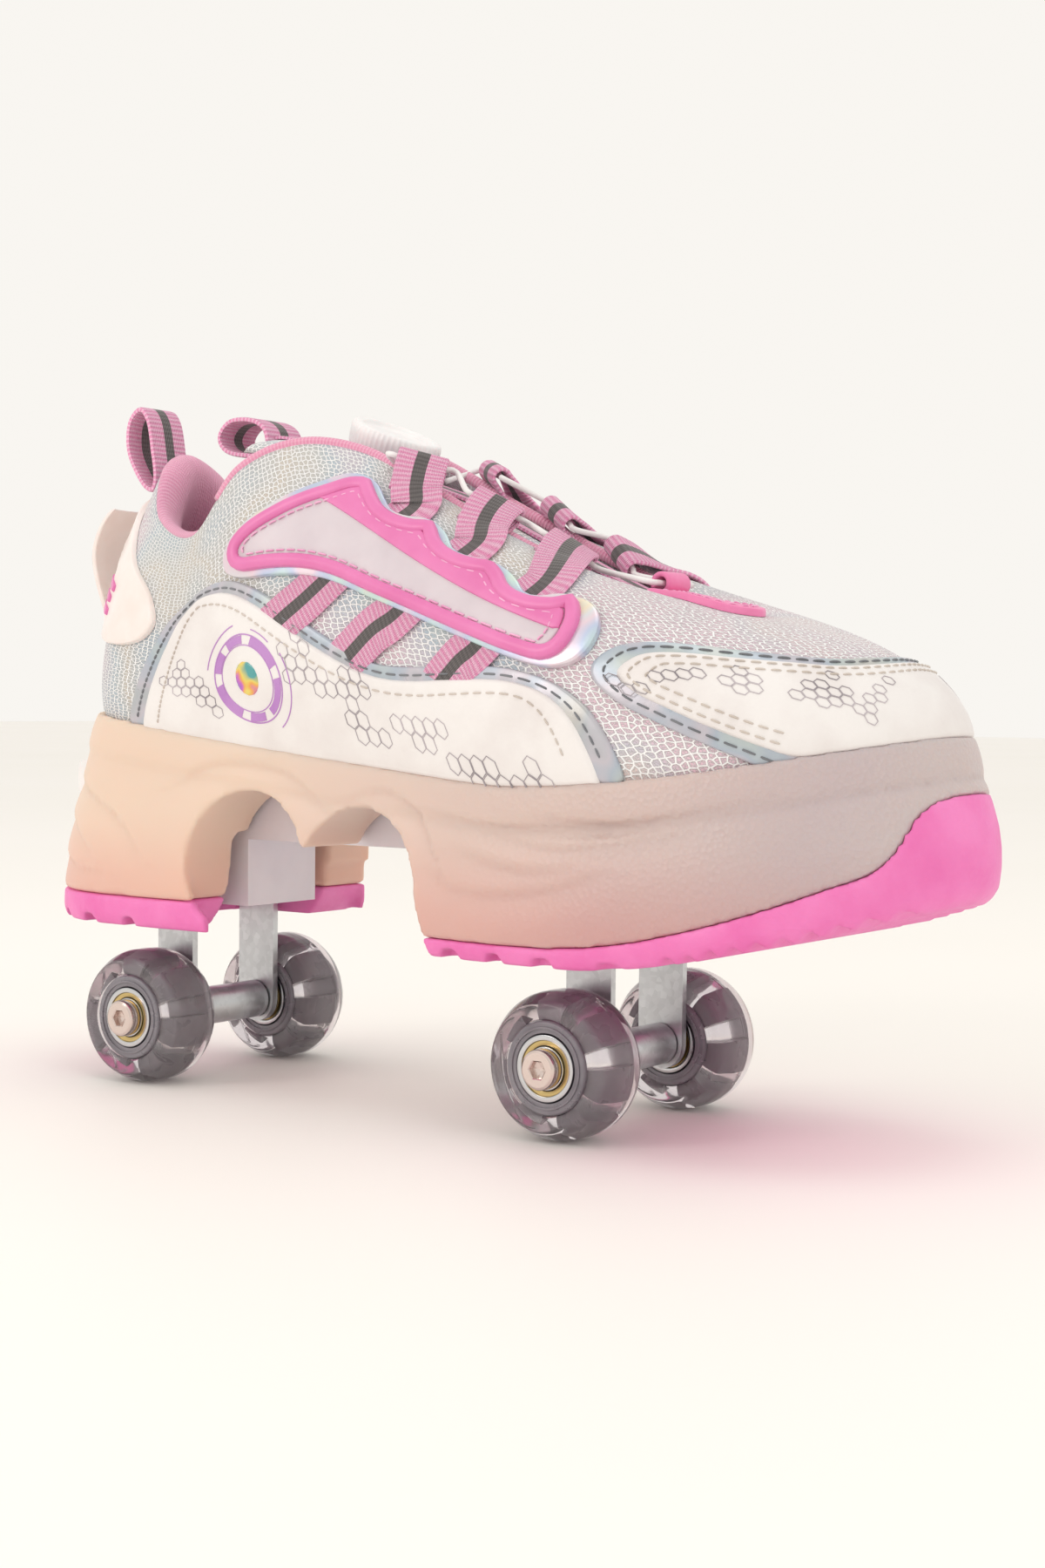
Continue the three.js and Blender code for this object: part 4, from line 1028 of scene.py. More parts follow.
def edge_notches(places, depth, height):
    """Tapered notches in the lower edge on both sides: where they are, and how wide."""
    plan = blend(PLAN, np.linspace(0.5, 9.5, 80))
    cuts = []
    for x, width in places:
        reach = -np.interp(x, plan[:, 0], plan[:, 1]) - depth
        slope = width * 0.22
        outline = [(x - width / 2, SOLE_Z - 3), (x + width / 2, SOLE_Z - 3),
                   (x + width / 2 - slope, SOLE_Z + height), (x - width / 2 + slope, SOLE_Z + height)]
        for y0, y1 in ((-BESIDE, -reach), (reach, BESIDE)):
            cuts.append(prism_shape(outline, y0, y1))
    return cuts


def build_sole():
    heel_top = SOLE_Z + HEEL_OUTSOLE
    bond = 0.02
    step, above = 20.5, 120
    upper_part = [
        (BEHIND, heel_top + bond), (step, heel_top + bond), (step, SOLE_Z + BALL_OUTSOLE + bond),
    ]
    upper_part += front_split(bond, above)[:-1] + [(BEHIND, above)]
    moulded("midsole_body", prism_shape(upper_part, -BESIDE, BESIDE), ROOMS, "tpu",
            "midsole", 1.0, flame_relief)
    heel_notches = edge_notches([(-96, 6), (-82, 7), (-66, 6)], 7, 2.6)
    moulded("heel_outsole", prism_shape(box_outline(BEHIND, 0, BELOW, heel_top), -BESIDE, BESIDE),
            ROOMS + heel_notches, "rubber", "outsole_heel", 0.8)
    ball_notches = edge_notches([(46, 8), (60, 6), (74, 8), (92, 9)], 7, 2.4)
    moulded("front_outsole", prism_shape(front_split(0, BELOW), -BESIDE, BESIDE),
            ROOMS + ball_notches + saw_teeth(), "rubber", "outsole_front", 0.8)


# ---- upper ------------------------------------------------------------------------------
SHELL = 3


def build_upper():
    station = np.linspace(0, STATIONS, 320, endpoint=False)
    heights = np.linspace(0, 1, 41)
    outer = [skin(station, h, np.zeros(len(station))) for h in heights]
    lip = skin(station, 1.0, np.full(len(station), -SHELL / 2))
    lip[:, 2] += 0.9
    inner = [skin(station, h, np.full(len(station), -float(SHELL))) for h in heights[::-4]]
    rings = np.array(outer + [lip] + inner)
    around = np.linalg.norm(np.diff(outer[20], axis=0), axis=1)
    run = np.concatenate([[0], np.cumsum(around), [around.sum() + around[-1]]])
    up = np.concatenate([[0], np.cumsum(np.linalg.norm(np.diff(rings, axis=0), axis=-1).mean(1)), [0]])
    flat = np.stack(np.meshgrid(up, run, indexing="ij"), -1)[..., ::-1]
    piece("mesh_upper", grid_shape(rings, True, True, flat), "mesh", "shoe",
          "upper_shell", sharp=80)


def build_collar():
    """Padded lining that rolls over the collar's edge and runs down inside the heel."""
    station = np.linspace(-3.75, 3.75, 110)
    fade = np.clip((3.75 - np.abs(station)) / 0.9, 0, 1) ** 0.6
    section = [
        (1.0, 0.2, 0.0), (1.0, -0.4, 1.6), (1.0, -2.6, 3.0), (1.0, -5.6, 2.8), (1.0, -8.4, 0.8),
        (0.95, -10.2, 0), (0.86, -10.8, 0), (0.76, -10.4, 0), (0.66, -9.6, 0), (0.56, -9, 0),
        (0.46, -8.4, 0), (0.36, -8, 0), (0.36, -3.4, 0), (0.6, -3.4, 0), (0.85, -3.4, 0),
        (0.97, -3.2, 0), (0.985, -0.9, 0.2),
    ]
    columns = []
    for height, offset, lift in section:
        puff = -3.2 + (offset + 3.2) * fade
        points = skin(station, height, puff)
        points[:, 2] += lift * fade
        columns.append(points)
    points = np.array(columns).transpose(1, 0, 2)
    run = run_along(points[:, 8])
    down = np.linspace(0, 80, len(section) + 1)
    flat = np.stack(np.meshgrid(run, down, indexing="ij"), -1)
    made = piece("collar_padding", grid_shape(points, False, True, flat, caps=True), "lining",
                 "shoe", "collar_lining", sharp=180)
    made.modifiers.new("round", "SUBSURF").levels = 1
    made.modifiers["round"].render_levels = 1


def build_insole():
    columns = 120
    rings = []
    for inset, lift in ((1.0, 1.0), (1.0, 3.4), (1.6, 4.2), (9, 4.0), (20, 3.6)):
        rings.append(sole_ring(columns, 0, 1, lambda x, lift=lift: feather_z(x) + lift, -(5 + inset)))
    points, faces, corners = grid_shape(np.array(rings), False, True)
    last = (len(rings) - 1) * columns
    for face in closing_faces(last, columns, -1):
        faces.append(face)
        corners.append([points[k][:2] for k in face])
    piece("footbed", (points, faces, corners), "footbed", "shoe", "insole", sheet=True)


TONGUE_LINE = [
    (84, 125.4, 2.4), (78, 128.8, 6.5), (66, 134.2, 11), (48, 142.8, 14), (22, 155, 14.6),
    (-2, 163, 15),
    (-9, 166, 15.4), (-22, 170.3, 17), (-34, 173.4, 18.5), (-42, 175.2, 18), (-46.5, 175, 15),
]


def build_tongue():
    line = smooth_line(TONGUE_LINE, 2.2, False)
    angles = np.linspace(0, 2 * np.pi, 26, endpoint=False)
    rows = []
    for k, (x, z, half) in enumerate(line):
        end = min(1.0, (len(line) - 1 - k) / 4 + 0.35, k / 3 + 0.35)
        thick = 4.6 * end
        across = np.sign(np.cos(angles)) * np.abs(np.cos(angles)) ** 0.75 * half
        rise = np.sign(np.sin(angles)) * np.abs(np.sin(angles)) ** 0.8 * thick / 2
        droop = 1.8 * (across / half) ** 2
        rows.append(np.stack([np.full(26, x), across, z - 2.6 + rise - droop], 1))
    made = piece("padded_tongue", grid_shape(np.array(rows), False, True, None, caps=True), "mesh",
                 "shoe", "tongue", sharp=180)
    path = np.array([[x, 0, z + 0.15] for x, z, _ in line if x < 80])
    along = np.gradient(path, axis=0)
    normals = -plane_normals(along)
    piece("tongue_ribbon", sweep_shape(path, normals, ribbon_section(9, 0.9)), "webbing", "shoe")


def mirror_flat(points, side):
    points = np.array(points, float)
    if side == "left":
        points[:, 0] = STATIONS * FLAT[0] - points[:, 0]
        points = points[::-1]
    return points


QUARTER = [
    (-66, 90), (-64.5, 99), (-61, 108), (-56.5, 117), (-51.5, 124.5), (-45, 129.8), (-38, 131.8),
    (-31, 131.4), (-23, 128.6), (-14, 124), (-5, 119.4), (4, 115.2), (13, 111.8), (22, 109.8),
    (32, 109.2), (44, 109.6), (54, 109.8), (63, 109.2), (71, 107.2), (77.5, 103.6), (82, 99),
    (86, 92.5), (88.5, 85.5),
]
TOE_TIP = [(91, 111), (93.5, 114.4), (98, 116), (106, 116), (116, 115), (127, 114), (136, 113.4)]
TOE_LOW = [(136, 91), (130, 93.5), (122, 96.6), (113, 100), (104, 103.6), (96, 107)]
BEAD = [
    (-32.4, 138), (-34, 141), (-33, 145), (-28.5, 149.6), (-20.6, 154.2), (-8.6, 158.6), (-1, 160.6),
    (5, 159.4), (9.5, 155), (14, 151), (20.6, 148.8), (27, 148), (31, 145.6), (35.5, 141), (42, 138.4),
    (49.5, 137), (55, 134), (60, 129.6), (67, 128), (73.5, 128.6), (78.5, 126.8), (81, 122.8),
    (80.2, 118), (77, 114.8), (71.5, 113.8), (61.6, 116), (46.8, 120.6), (31.2, 125.8), (15.2, 131),
    (2.7, 135.2), (-8, 137.2), (-19.7, 137.4), (-28, 136.8),
]
WEDGE_LINE = [(-12, 156.6), (78, 119)]
STRAPS = [
    ((6.67, 1.0), (6.5, 0.9), (6.3, 0.8), (5.5, 0.64), (4.75, 0.5), (4.4, 0.44), (3.85, 0.34)),
    ((7.54, 1.0), (7.2, 0.86), (6.9, 0.73), (6.2, 0.56), (5.65, 0.44), (5.3, 0.38), (4.75, 0.26)),
    ((8.38, 1.0), (8.0, 0.85), (7.4, 0.62), (6.8, 0.47), (6.35, 0.36), (6.1, 0.31), (5.65, 0.2)),
]
LOOP_R = 2.25


def foot_of(line):
    """An outline's last stretch along the sole, from its end back to its start."""
    start, end = line[0, 0], line[-1, 0]
    across = np.linspace(end, start, 40)[1:-1]
    return np.stack([across, np.full(len(across), 0.2)], 1)


def leather_panel(name, line, side, node):
    """White overlay with a foil band and grey thread outside its edge, pale thread inside."""
    edge = smooth_line(line, 1.2, False)
    edge[0, 1] = edge[-1, 1] = 0.2
    closed = np.vstack([edge, foot_of(edge)])
    normals = outward_normals(closed)[: len(edge)]
    band = np.vstack([edge + normals * 3.0, edge[::-1] - normals[::-1] * 2])
    piece(f"{name}_{side}", patch_shape(closed, 0.3, 1.5, 1.1), "white_leather", "shoe",
          node, sheet=True)
    piece(f"{name}_foil_{side}", patch_shape(band, 0.2, 0.9, 0.6, 2), "piping", "shoe",
          sheet=True)
    clear = slice(3, -3)
    grey = joined(stitch_shapes((edge + normals * 1.1)[clear], 1.15, 1.7, 0.8, 0.26))
    pale = joined(stitch_shapes((edge - normals * 3.2)[clear], 1.85, 1.2, 0.8, 0.25))
    piece(f"{name}_grey_thread_{side}", grey, "grey_thread", "shoe")
    piece(f"{name}_pale_thread_{side}", pale, "white_thread", "shoe")


def build_quarters():
    for side in SIDES:
        line = mirror_flat(on_wall(QUARTER, "right"), side)
        leather_panel("quarter", line, side, "quarter_panel_" + side)


def build_toe():
    right_top = on_wall(TOE_TIP, "right")
    right_low = on_wall(TOE_LOW, "right")
    middle = [[10 * FLAT[0], 0.285 * FLAT[1]]]
    left_top, left_low = mirror_flat(right_top, "left"), mirror_flat(right_low, "left")
    top = np.vstack([right_low, right_top, middle, left_top, left_low])
    edge = smooth_line(top, 1.2, False)
    edge[0, 1] = edge[-1, 1] = 0.2
    closed = np.vstack([edge, foot_of(edge)])
    normals = outward_normals(closed)[: len(edge)]
    band = np.vstack([edge + normals * 3.4, edge[::-1] - normals[::-1] * 2])
    piece("toe_overlay", patch_shape(closed, 0.3, 1.5, 1.1), "white_leather", "shoe",
          "toe_panel", sheet=True)
    piece("toe_foil", patch_shape(band, 0.2, 0.9, 0.6, 2), "piping", "shoe",
          sheet=True)
    pale = stitch_shapes((edge - normals * 1.6)[3:-3], 1.85, 1.2, 0.8, 0.25)
    pale += stitch_shapes((edge - normals * 3.8)[3:-3], 1.85, 1.2, 0.8, 0.25)
    piece("toe_pale_thread", joined(pale), "white_thread", "shoe")
    grey = joined(stitch_shapes((edge + normals * 1.6)[3:-3], 1.15, 1.7, 0.8, 0.26))
    piece("toe_grey_thread", grey, "grey_thread", "shoe")


def build_badge(side):
    outer = smooth_line(mirror_flat(on_wall(BEAD, "right"), side), 1.2)
    piece(f"badge_backing_{side}", patch_shape(grown(outer, 1.4), 1.3, 0.7, 0.5), "foil", "shoe",
          "badge_" + side, sheet=True)
    window = grown(outer, -3.0)
    piece(f"badge_window_{side}", patch_shape(window, 1.9, 0.8, 0.3), "window", "shoe",
          sheet=True)
    path, normals = line_on_wall(grown(outer, -1.9), 2.5)
    profile = rounded([(-1.9, -1), (1.9, -1), (1.7, 0.9), (0.6, 1.4), (-0.6, 1.4), (-1.7, 0.9)], 0.7, 3)
    piece(f"badge_bead_{side}", sweep_shape(path, normals, profile, True), "bead", "shoe",
          sharp=60)
    line = mirror_flat(on_wall(WEDGE_LINE, "right"), side)
    along = line[1] - line[0]
    above = (window - line[0]) @ [-along[1], along[0]] > 0
    first = int(np.argmin(above))
    wedge = resampled(np.roll(window, -first, 0)[np.roll(above, -first)], 1.2, True)
    piece(f"badge_wedge_{side}", patch_shape(wedge, 2.3, 0.9, 0.5), "bead", "shoe",
          sheet=True)
    thread = joined(stitch_shapes(grown(outer, -4.3), 2.95, 1.5, 0.7, 0.25, True))
    piece(f"badge_thread_{side}", thread, "pink_thread", "shoe")


def strap_path(points, side):
    """Up the wall, over the wire and back down inside: points and outward normals."""
    flat = mirror_flat(np.array(points)[::-1] * FLAT, "right")
    if side == "left":
        flat[:, 0] = STATIONS * FLAT[0] - flat[:, 0]
    line = smooth_line(flat, 1.4, False)
    left = np.linalg.norm(line - line[-1], axis=1)
    rise = 4.3 * np.clip(1 - left / 15, 0, 1) ** 1.6
    start = np.linalg.norm(line - line[0], axis=1)
    tucked = 0.6 * np.clip(1 - start / 12, 0, 1)
    outside, normals = line_on_wall(line, 0.9 - tucked + 0.55 * np.clip(1 - left / 20, 0, 1) + rise)
    up = outside[-1] - outside[-3]
    up /= np.linalg.norm(up)
    out = normals[-1] - up * (normals[-1] @ up)
    out /= np.linalg.norm(out)
    centre = outside[-1] - out * LOOP_R + up * 0.6
    angles = np.linspace(0.1, math.pi + 0.1, 14)[:, None]
    turn = out * np.cos(angles) + up * np.sin(angles)
    back_steps = np.linspace(1, 9, 6)[:, None]
    back = centre - out * LOOP_R - up * back_steps + out * 0.08 * back_steps
    path = np.vstack([outside, centre + turn * LOOP_R, back])
    all_normals = np.vstack([normals, turn, np.broadcast_to(-out, back.shape)])
    return path, all_normals, centre, np.cross(up, out)


def build_straps():
    places = {}
    for side in SIDES:
        for k, points in enumerate(STRAPS):
            path, normals, centre, axis = strap_path(points, side)
            places[side, k] = (centre, axis)
            piece(f"strap_{side}_{k + 1}", sweep_shape(path, normals, ribbon_section(13, 1.1)),
                  "webbing", "shoe", f"lace_strap_{side}_{k + 1}", sharp=60)
    return places


def build_binding():
    station = np.linspace(3.55, 16.45, 260)
    path = blend(RIM_RING, station) + wall_normal(station, 1.0) * -1.3 + [0, 0, 0.9]
    normals = wall_normal(station, 1.0)
    piece("throat_binding", sweep_shape(path, normals, round_section(1.5, 12)), "binding", "shoe",
          sharp=180)


def band_loop(name, points, width, thick, node):
    """A closed webbing loop in the shoe's middle plane."""
    line = smooth_line(points, 1.0)
    path = np.insert(line, 1, 0, axis=1)
    along = np.roll(path, -1, 0) - np.roll(path, 1, 0)
    normals = plane_normals(along)
    piece(name, sweep_shape(path, normals, ribbon_section(width, thick), True), "webbing", "shoe",
          node, sharp=60)


HEEL_LOOP = [
    (-89, 163.2), (-93, 165.6), (-98, 174), (-98, 182), (-94, 186), (-90.6, 182.5), (-88.8, 174),
    (-87.8, 167),
]
TONGUE_LOOP = [
    (-46, 171.2), (-52.8, 170.8), (-60.3, 172.5), (-62.8, 176.5), (-58.8, 180.4), (-50.8, 180.2),
    (-46, 177),
]


CLIP_TAB = [(-100.5, 117), (-104, 126), (-108.5, 137), (-110, 145), (-108, 152), (-105, 158)]


def clip_relief(station, height):
    """The clip's backward flare at the heel, and a raised hexagon border."""
    around = np.where(station > 10, station - STATIONS, station)
    up = np.interp(height, [0.36, 0.46, 0.62, 0.72, 0.84], [0, 1.5, 9.5, 10, 2.5])
    flare = up * np.exp(-((around / 0.8) ** 4))
    ring = np.maximum(np.abs(around) / 1.9, np.abs(height - 0.56) / 0.17 + np.abs(around) / 7)
    return 0.25 * flare + 0.55 * np.exp(-(((ring - 0.8) / 0.07) ** 2))


def build_clip():
    half = [
        (0.0, 0.37), (1.2, 0.36), (2.0, 0.37), (2.45, 0.42), (2.65, 0.52), (2.6, 0.62),
        (2.35, 0.72), (1.7, 0.8), (0.9, 0.84), (0.0, 0.85),
    ]
    outline = half + [(-s, t) for s, t in half[-2:0:-1]]
    outline = smooth_line(np.array(outline) * FLAT, 1.2)
    piece("heel_clip_plate", patch_shape(outline, 0.4, 1.3, 0.9, 1.6, clip_relief), "clip", "shoe",
          "heel_clip", sheet=True)
    for k, (centre, length) in enumerate(((0.6, 7.5), (0.545, 6), (0.49, 7.5))):
        for sign in (-1, 1):
            middle = [sign * 1.55 * FLAT[0], centre * FLAT[1]]
            along, up = np.array(box_outline(-0.5, 0.5, -1.1, 1.1)).T
            mark = local_point(middle, along * length, up)
            bar = patch_shape(rounded(mark, 0.8), 1.2, 1.3, 0.3, 1.2)
            name = f"clip_bar_{k}_{SIDES[(sign + 1) // 2]}"
            piece(name, bar, "bead", "shoe", sheet=True)
    rise = smooth_line(CLIP_TAB, 1.2, False)
    across = np.linspace(-1, 1, 21)
    faces = []
    for offset in (0.0, 1.7):
        rows = []
        for k, (x, z) in enumerate(rise):
            share = k / (len(rise) - 1)
            half = 12.5 - 3 * abs(2 * share - 1) ** 6
            rows.append(np.stack([x + offset + 3.2 * across**2, half * across, np.full(21, z)], 1))
        faces.append(rows)
    shell = np.concatenate([np.array(faces[0]), np.array(faces[1])[:, ::-1]], 1)
    tab = piece("heel_clip_tab", grid_shape(shell, False, True, None, caps=True), "clip", "shoe",
                sharp=50)
    soft = tab.modifiers.new("edges", "BEVEL")
    soft.width, soft.segments, soft.limit_method = 0.5 * MM, 2, "ANGLE"


def build_vamp_patch():
    outline = np.array([
        (9.2, 0.955), (9.15, 0.895), (9.0, 0.79), (8.98, 0.71), (9.12, 0.655), (9.45, 0.665),
        (9.8, 0.74), (10.2, 0.81), (10.4, 0.89), (10.5, 0.96), (10.0, 0.985),
    ])
    flat = smooth_line(outline * FLAT, 1.2)
    piece("vamp_patch", patch_shape(flat, 0.4, 1.5, 0.8, 2.0), "pink_leather", "shoe",
          "vamp_loop", sheet=True)
    thread = joined(stitch_shapes(grown(flat, -1.9), 2.0, 1.4, 0.9, 0.22, True))
    piece("vamp_thread", thread, "pink_thread", "shoe")
    tube = arc((79.5, 133.4), LOOP_R, -1.2, 3.6, 16)
    tail = [(88, 129.8), (94, 128)]
    path = np.array([(x, 0, z) for x, z in tail[::-1] + tube])
    path = resampled(path, 0.8, False)
    along = np.gradient(path, axis=0)
    normals = plane_normals(along)
    piece("vamp_fold", sweep_shape(path, normals, ribbon_section(10, 1.3)), "pink_leather", "shoe",
          sharp=60)


def build_wire(places):
    half = [np.array([4.6, -8, 162.4])]
    for k in range(len(STRAPS)):
        centre, axis = places["right", k]
        axis = axis if axis[0] > 0 else -axis
        half += [centre + axis * d for d in (-9, -5, 5, 9)]
    half.append(np.array([78.9, -9.6, 133.6]))
    across = [np.array([79.5, -6, 133.4]), np.array([79.5, 6, 133.4])]
    other = [p * [1, -1, 1] for p in half[::-1]]
    for k in range(len(STRAPS)):
        centre, axis = places["left", k]
        axis = axis if axis[0] > 0 else -axis
        start = 1 + 4 * (len(STRAPS) - 1 - k)
        other[start : start + 4] = [centre + axis * d for d in (9, 5, -5, -9)]
    path = smooth_line(np.array(half + across + other), 1.6, False)
    normals = np.tile([0.31, 0.02, 0.95], (len(path), 1))
    piece("lace", sweep_shape(path, normals, round_section(0.75, 8)), "lace", "shoe",
          "lace_wire", sharp=180)


# ---- printed marks on the overlays --------------------------------------------------------
def local_point(centre, du, dv):
    """A point near a flat centre, at true millimetres along and up the wall."""
    station, height = np.asarray(centre) / FLAT
    along = np.linalg.norm(wall(station + 0.1, height) - wall(station - 0.1, height)) / 0.2
    up = np.linalg.norm(wall(station, height + 0.03) - wall(station, height - 0.03)) / 0.06
    s, t = station + np.asarray(du) / along, height + np.asarray(dv) / up
    return np.stack([s, np.clip(t, 0.002, 1)], -1) * FLAT


def ink_section(width):
    return box_outline(-width / 2, width / 2, -0.05, 0.05)


def ring_print(centre, radius, width, start, end, offset=1.86):
    angles = np.linspace(start, end, max(4, int(abs(end - start) * radius / 1.2)))
    flat = local_point(centre, radius * np.cos(angles), radius * np.sin(angles))
    path, normals = line_on_wall(flat, offset)
    return sweep_shape(path, normals, ink_section(width))


def hexagon_print(centre, cell, radius=1.95, width=0.2, offset=1.86):
    du, dv = cell
    turns = [k * math.pi / 3 for k in range(6)]
    corners = [(du + radius * math.sin(turn), dv + radius * math.cos(turn)) for turn in turns]
    dense = resampled(corners, radius / 2, True)
    flat = local_point(centre, dense[:, 0], dense[:, 1])
    path, normals = line_on_wall(flat, offset)
    return sweep_shape(path, normals, ink_section(width), True)


def hexagon_cells(columns):
    """Cell centres of a honeycomb: each entry is (row, first column, how many)."""
    pitch = 3.6
    cells = []
    for row, first, count in columns:
        for k in range(count):
            cells.append(((first + k + 0.5 * (row % 2)) * pitch, row * pitch * 0.866))
    return cells


HEEL_CELLS = [(2, -7, 1), (1, -8, 2), (0, -9, 5), (-1, -8, 4), (-2, -5, 2), (-3, -4, 1)]
WAIST_CELLS = [(3, 5, 1), (2, 4, 1), (2, 6, 1), (1, 3, 3), (0, 4, 4), (0, 9, 2), (-1, 6, 5), (-2, 9, 1),
               (-3, 8, 2), (-3, 12, 5), (-4, 9, 3), (-4, 14, 2), (-5, 16, 4), (-6, 18, 6), (-5, 22, 1)]
TOE_CELLS = [(4, 0, 1), (3, 0, 2), (4, 3, 4), (3, 7, 3), (2, 8, 2), (4, 9, 1), (1, 11, 5), (2, 13, 2),
             (0, 13, 3), (-1, 15, 2), (3, 15, 1), (0, 17, 2), (1, 18, 1), (-2, 16, 1), (2, 20, 1)]


RING_AT = (-24, 109.5)
TOE_PRINT_AT = (99, 100)


def build_prints():
    ring_at = on_wall([RING_AT], "right")[0]
    toe_at = on_wall([TOE_PRINT_AT], "right")[0]
    for side in SIDES:
        centre = mirror_flat([ring_at], side)[0]
        toe = mirror_flat([toe_at], side)[0]
        turn = 1 if side == "right" else -1
        arcs = [(0.25, 1.2), (1.5, 2.1), (2.35, 2.95), (3.3, 4.3), (4.55, 5.05), (5.3, 6.25)]
        bands = [ring_print(centre, 10.2, 2.2, a, b) for a, b in arcs]
        thin = [ring_print(centre, 11.6, 0.35, 0, 2 * math.pi), ring_print(centre, 8.8, 0.25, 0, 6.28),
                ring_print(centre, 14.4, 0.3, 1.7, 2.9), ring_print(centre, 14.4, 0.3, -1.0, 0.4),
                ring_print(centre, 13.2, 0.25, 0.7, 1.2)]
        piece("ring_print_" + side, joined(bands + thin), "purple_print", "shoe",
              sheet=True)
        angles = np.linspace(0, 2 * np.pi, 28, endpoint=False)
        gem = local_point(centre, 4.0 * np.cos(angles), 4.6 * np.sin(angles))
        piece("ring_gem_" + side, patch_shape(gem, 1.75, 0.5, 1.6, 1.2, sink=1.7), "gem", "shoe",
              sheet=True)
        cells = hexagon_cells(HEEL_CELLS + WAIST_CELLS)
        lines = [hexagon_print(centre, (turn * du, dv)) for du, dv in cells
                 if abs(complex(du, dv)) > 13.2]
        toe_lines = [hexagon_print(toe, (turn * du, dv)) for du, dv in hexagon_cells(TOE_CELLS)]
        piece("hexagon_print_" + side, joined(lines + toe_lines), "grey_print", "shoe",
              sheet=True)


# ---- dial -------------------------------------------------------------------------------
def tilted(shape, centre, tilt):
    """Turns a lathe shape from its +Y axis to the dial's axis."""
    points, faces, corners = shape
    axis = Vector((math.sin(tilt), 0, math.cos(tilt)))
    turn = np.array(Vector((0, 1, 0)).rotation_difference(axis).to_matrix())
    return points @ turn.T + centre, faces, corners


def build_dial():
    joint = JOINTS["dial_turn"]
    centre = np.array(joint["pos_m"]) / MM - ORIGIN
    tilt = math.atan2(joint["axis"][0], joint["axis"][2])
    base = rounded([(0, 0), (13.6, 0), (14, 0.8), (13.2, 2.3), (0, 2.3)], [0, 0.4, 0.6, 0.8, 0], 3)
    piece("dial_flange", tilted(lathe_shape(base), centre, tilt), "white_plastic", "shoe",
          "dial_base")
    low, high = 2.9, 9.3
    knob = rounded([
        (0, low), (11.6, low), (12.0, low + 1), (12.5, high - 1.6), (11.9, high), (9.9, high),
        (9.2, high - 1.1), (2.2, high - 1.3), (1.4, high - 0.9), (0, high - 0.9),
    ], [0, 0.5, 0.5, 0.8, 0.7, 0.5, 0.5, 0.4, 0.3, 0], 4)

    def ribs(radius, angles):
        grip = 0.22 * (0.5 + 0.5 * np.cos(angles * 52)) ** 0.6
        return radius - np.where(radius > 11.4, grip, 0)

    made = tilted(lathe_shape(knob, segments=416, radius_of=ribs), centre, tilt)
    piece("dial_cap", made, "white_plastic", "dial_knob", "dial_knob", sharp=50)
    spool = [(0, 0.3), (4, 0.3), (4, 2.2), (2, 2.6), (2, 6.4), (0, 6.4)]
    piece("dial_core", tilted(lathe_shape(spool, segments=40), centre, tilt), "white_plastic",
          "dial_spool", "dial_spool")


# ---- wheels and trucks ------------------------------------------------------------------
def tyre_profile():
    half = WHEEL_WIDTH / 2
    return rounded([
        (11.5, -half + 1.1), (13.2, -half + 0.25), (15.4, -half), (WHEEL_R, -half + 4.2),
        (WHEEL_R, -0.35),
        (WHEEL_R + 0.07, 0), (WHEEL_R, 0.35), (WHEEL_R, half - 4.2), (15.4, half), (13.2, half - 0.25),
        (11.5, half - 1.1),
    ], [0.5, 1, 3, 3.4, 0.1, 0.1, 0.1, 3.4, 3, 1, 0.5], 6)


def core_shapes(centre):
    """The wheel's core: a barrel round the bearings, a lip on each face, and raised wings."""
    barrel = rounded([
        (8.3, -8.5), (10.9, -8.5), (11.3, -7.9), (11.3, 7.9), (10.9, 8.5), (8.3, 8.5), (8.3, 3.5),
        (6.8, 3.3), (6.8, -3.3), (8.3, -3.5),
    ], 0.35, 3)
    shapes = [lathe_shape(barrel, centre, 72, True)]
    lip = rounded(box_outline(9.3, 9.9, -8.9, -8.3), 0.2, 2)
    shapes += [lathe_shape(lip * [1, sign], centre, 72, True) for sign in (1, -1)]
    wings = 7
    for k in range(wings):
        middle = 2 * math.pi * k / wings
        span = np.linspace(-0.27, 0.27, 7) + middle
        rows = []
        for angle in span:
            section = rounded([(11.2, -6.2), (14.6, -5.4), (14.6, 5.4), (11.2, 6.2)], 0.9, 3)
            rows.append(np.stack([section[:, 0] * math.sin(angle), section[:, 1],
                                  section[:, 0] * math.cos(angle)], 1) + centre)
        shapes.append(grid_shape(np.array(rows), False, True, None, caps=True))
    return shapes


def bolt_shape(centre, sign, inner, outer, head_r, shank_r, reach, socket):
    """A headed shank with a hex socket, its head towards sign along Y."""
    angles = np.linspace(0, 2 * np.pi, 96, endpoint=False)
    hexagon = socket / 2 / np.cos((angles + math.pi / 6) % (math.pi / 3) - math.pi / 6)
    levels = [
        (0, reach), (shank_r, reach), (shank_r, inner), (head_r, inner), (head_r, outer - 0.9),
        (head_r - 0.25, outer - 0.35), (head_r - 0.8, outer), (hexagon + 0.25, outer),
        (hexagon, outer - 0.25), (hexagon, outer - 1.9), (0.3 * hexagon, outer - 2.2),
        (0, outer - 2.3),
    ]
    rows = [
        np.stack([radius * np.sin(angles), np.full(len(angles), sign * y), radius * np.cos(angles)], 1)
        for radius, y in levels
    ]
    return grid_shape(np.array(rows) + centre, False, True)


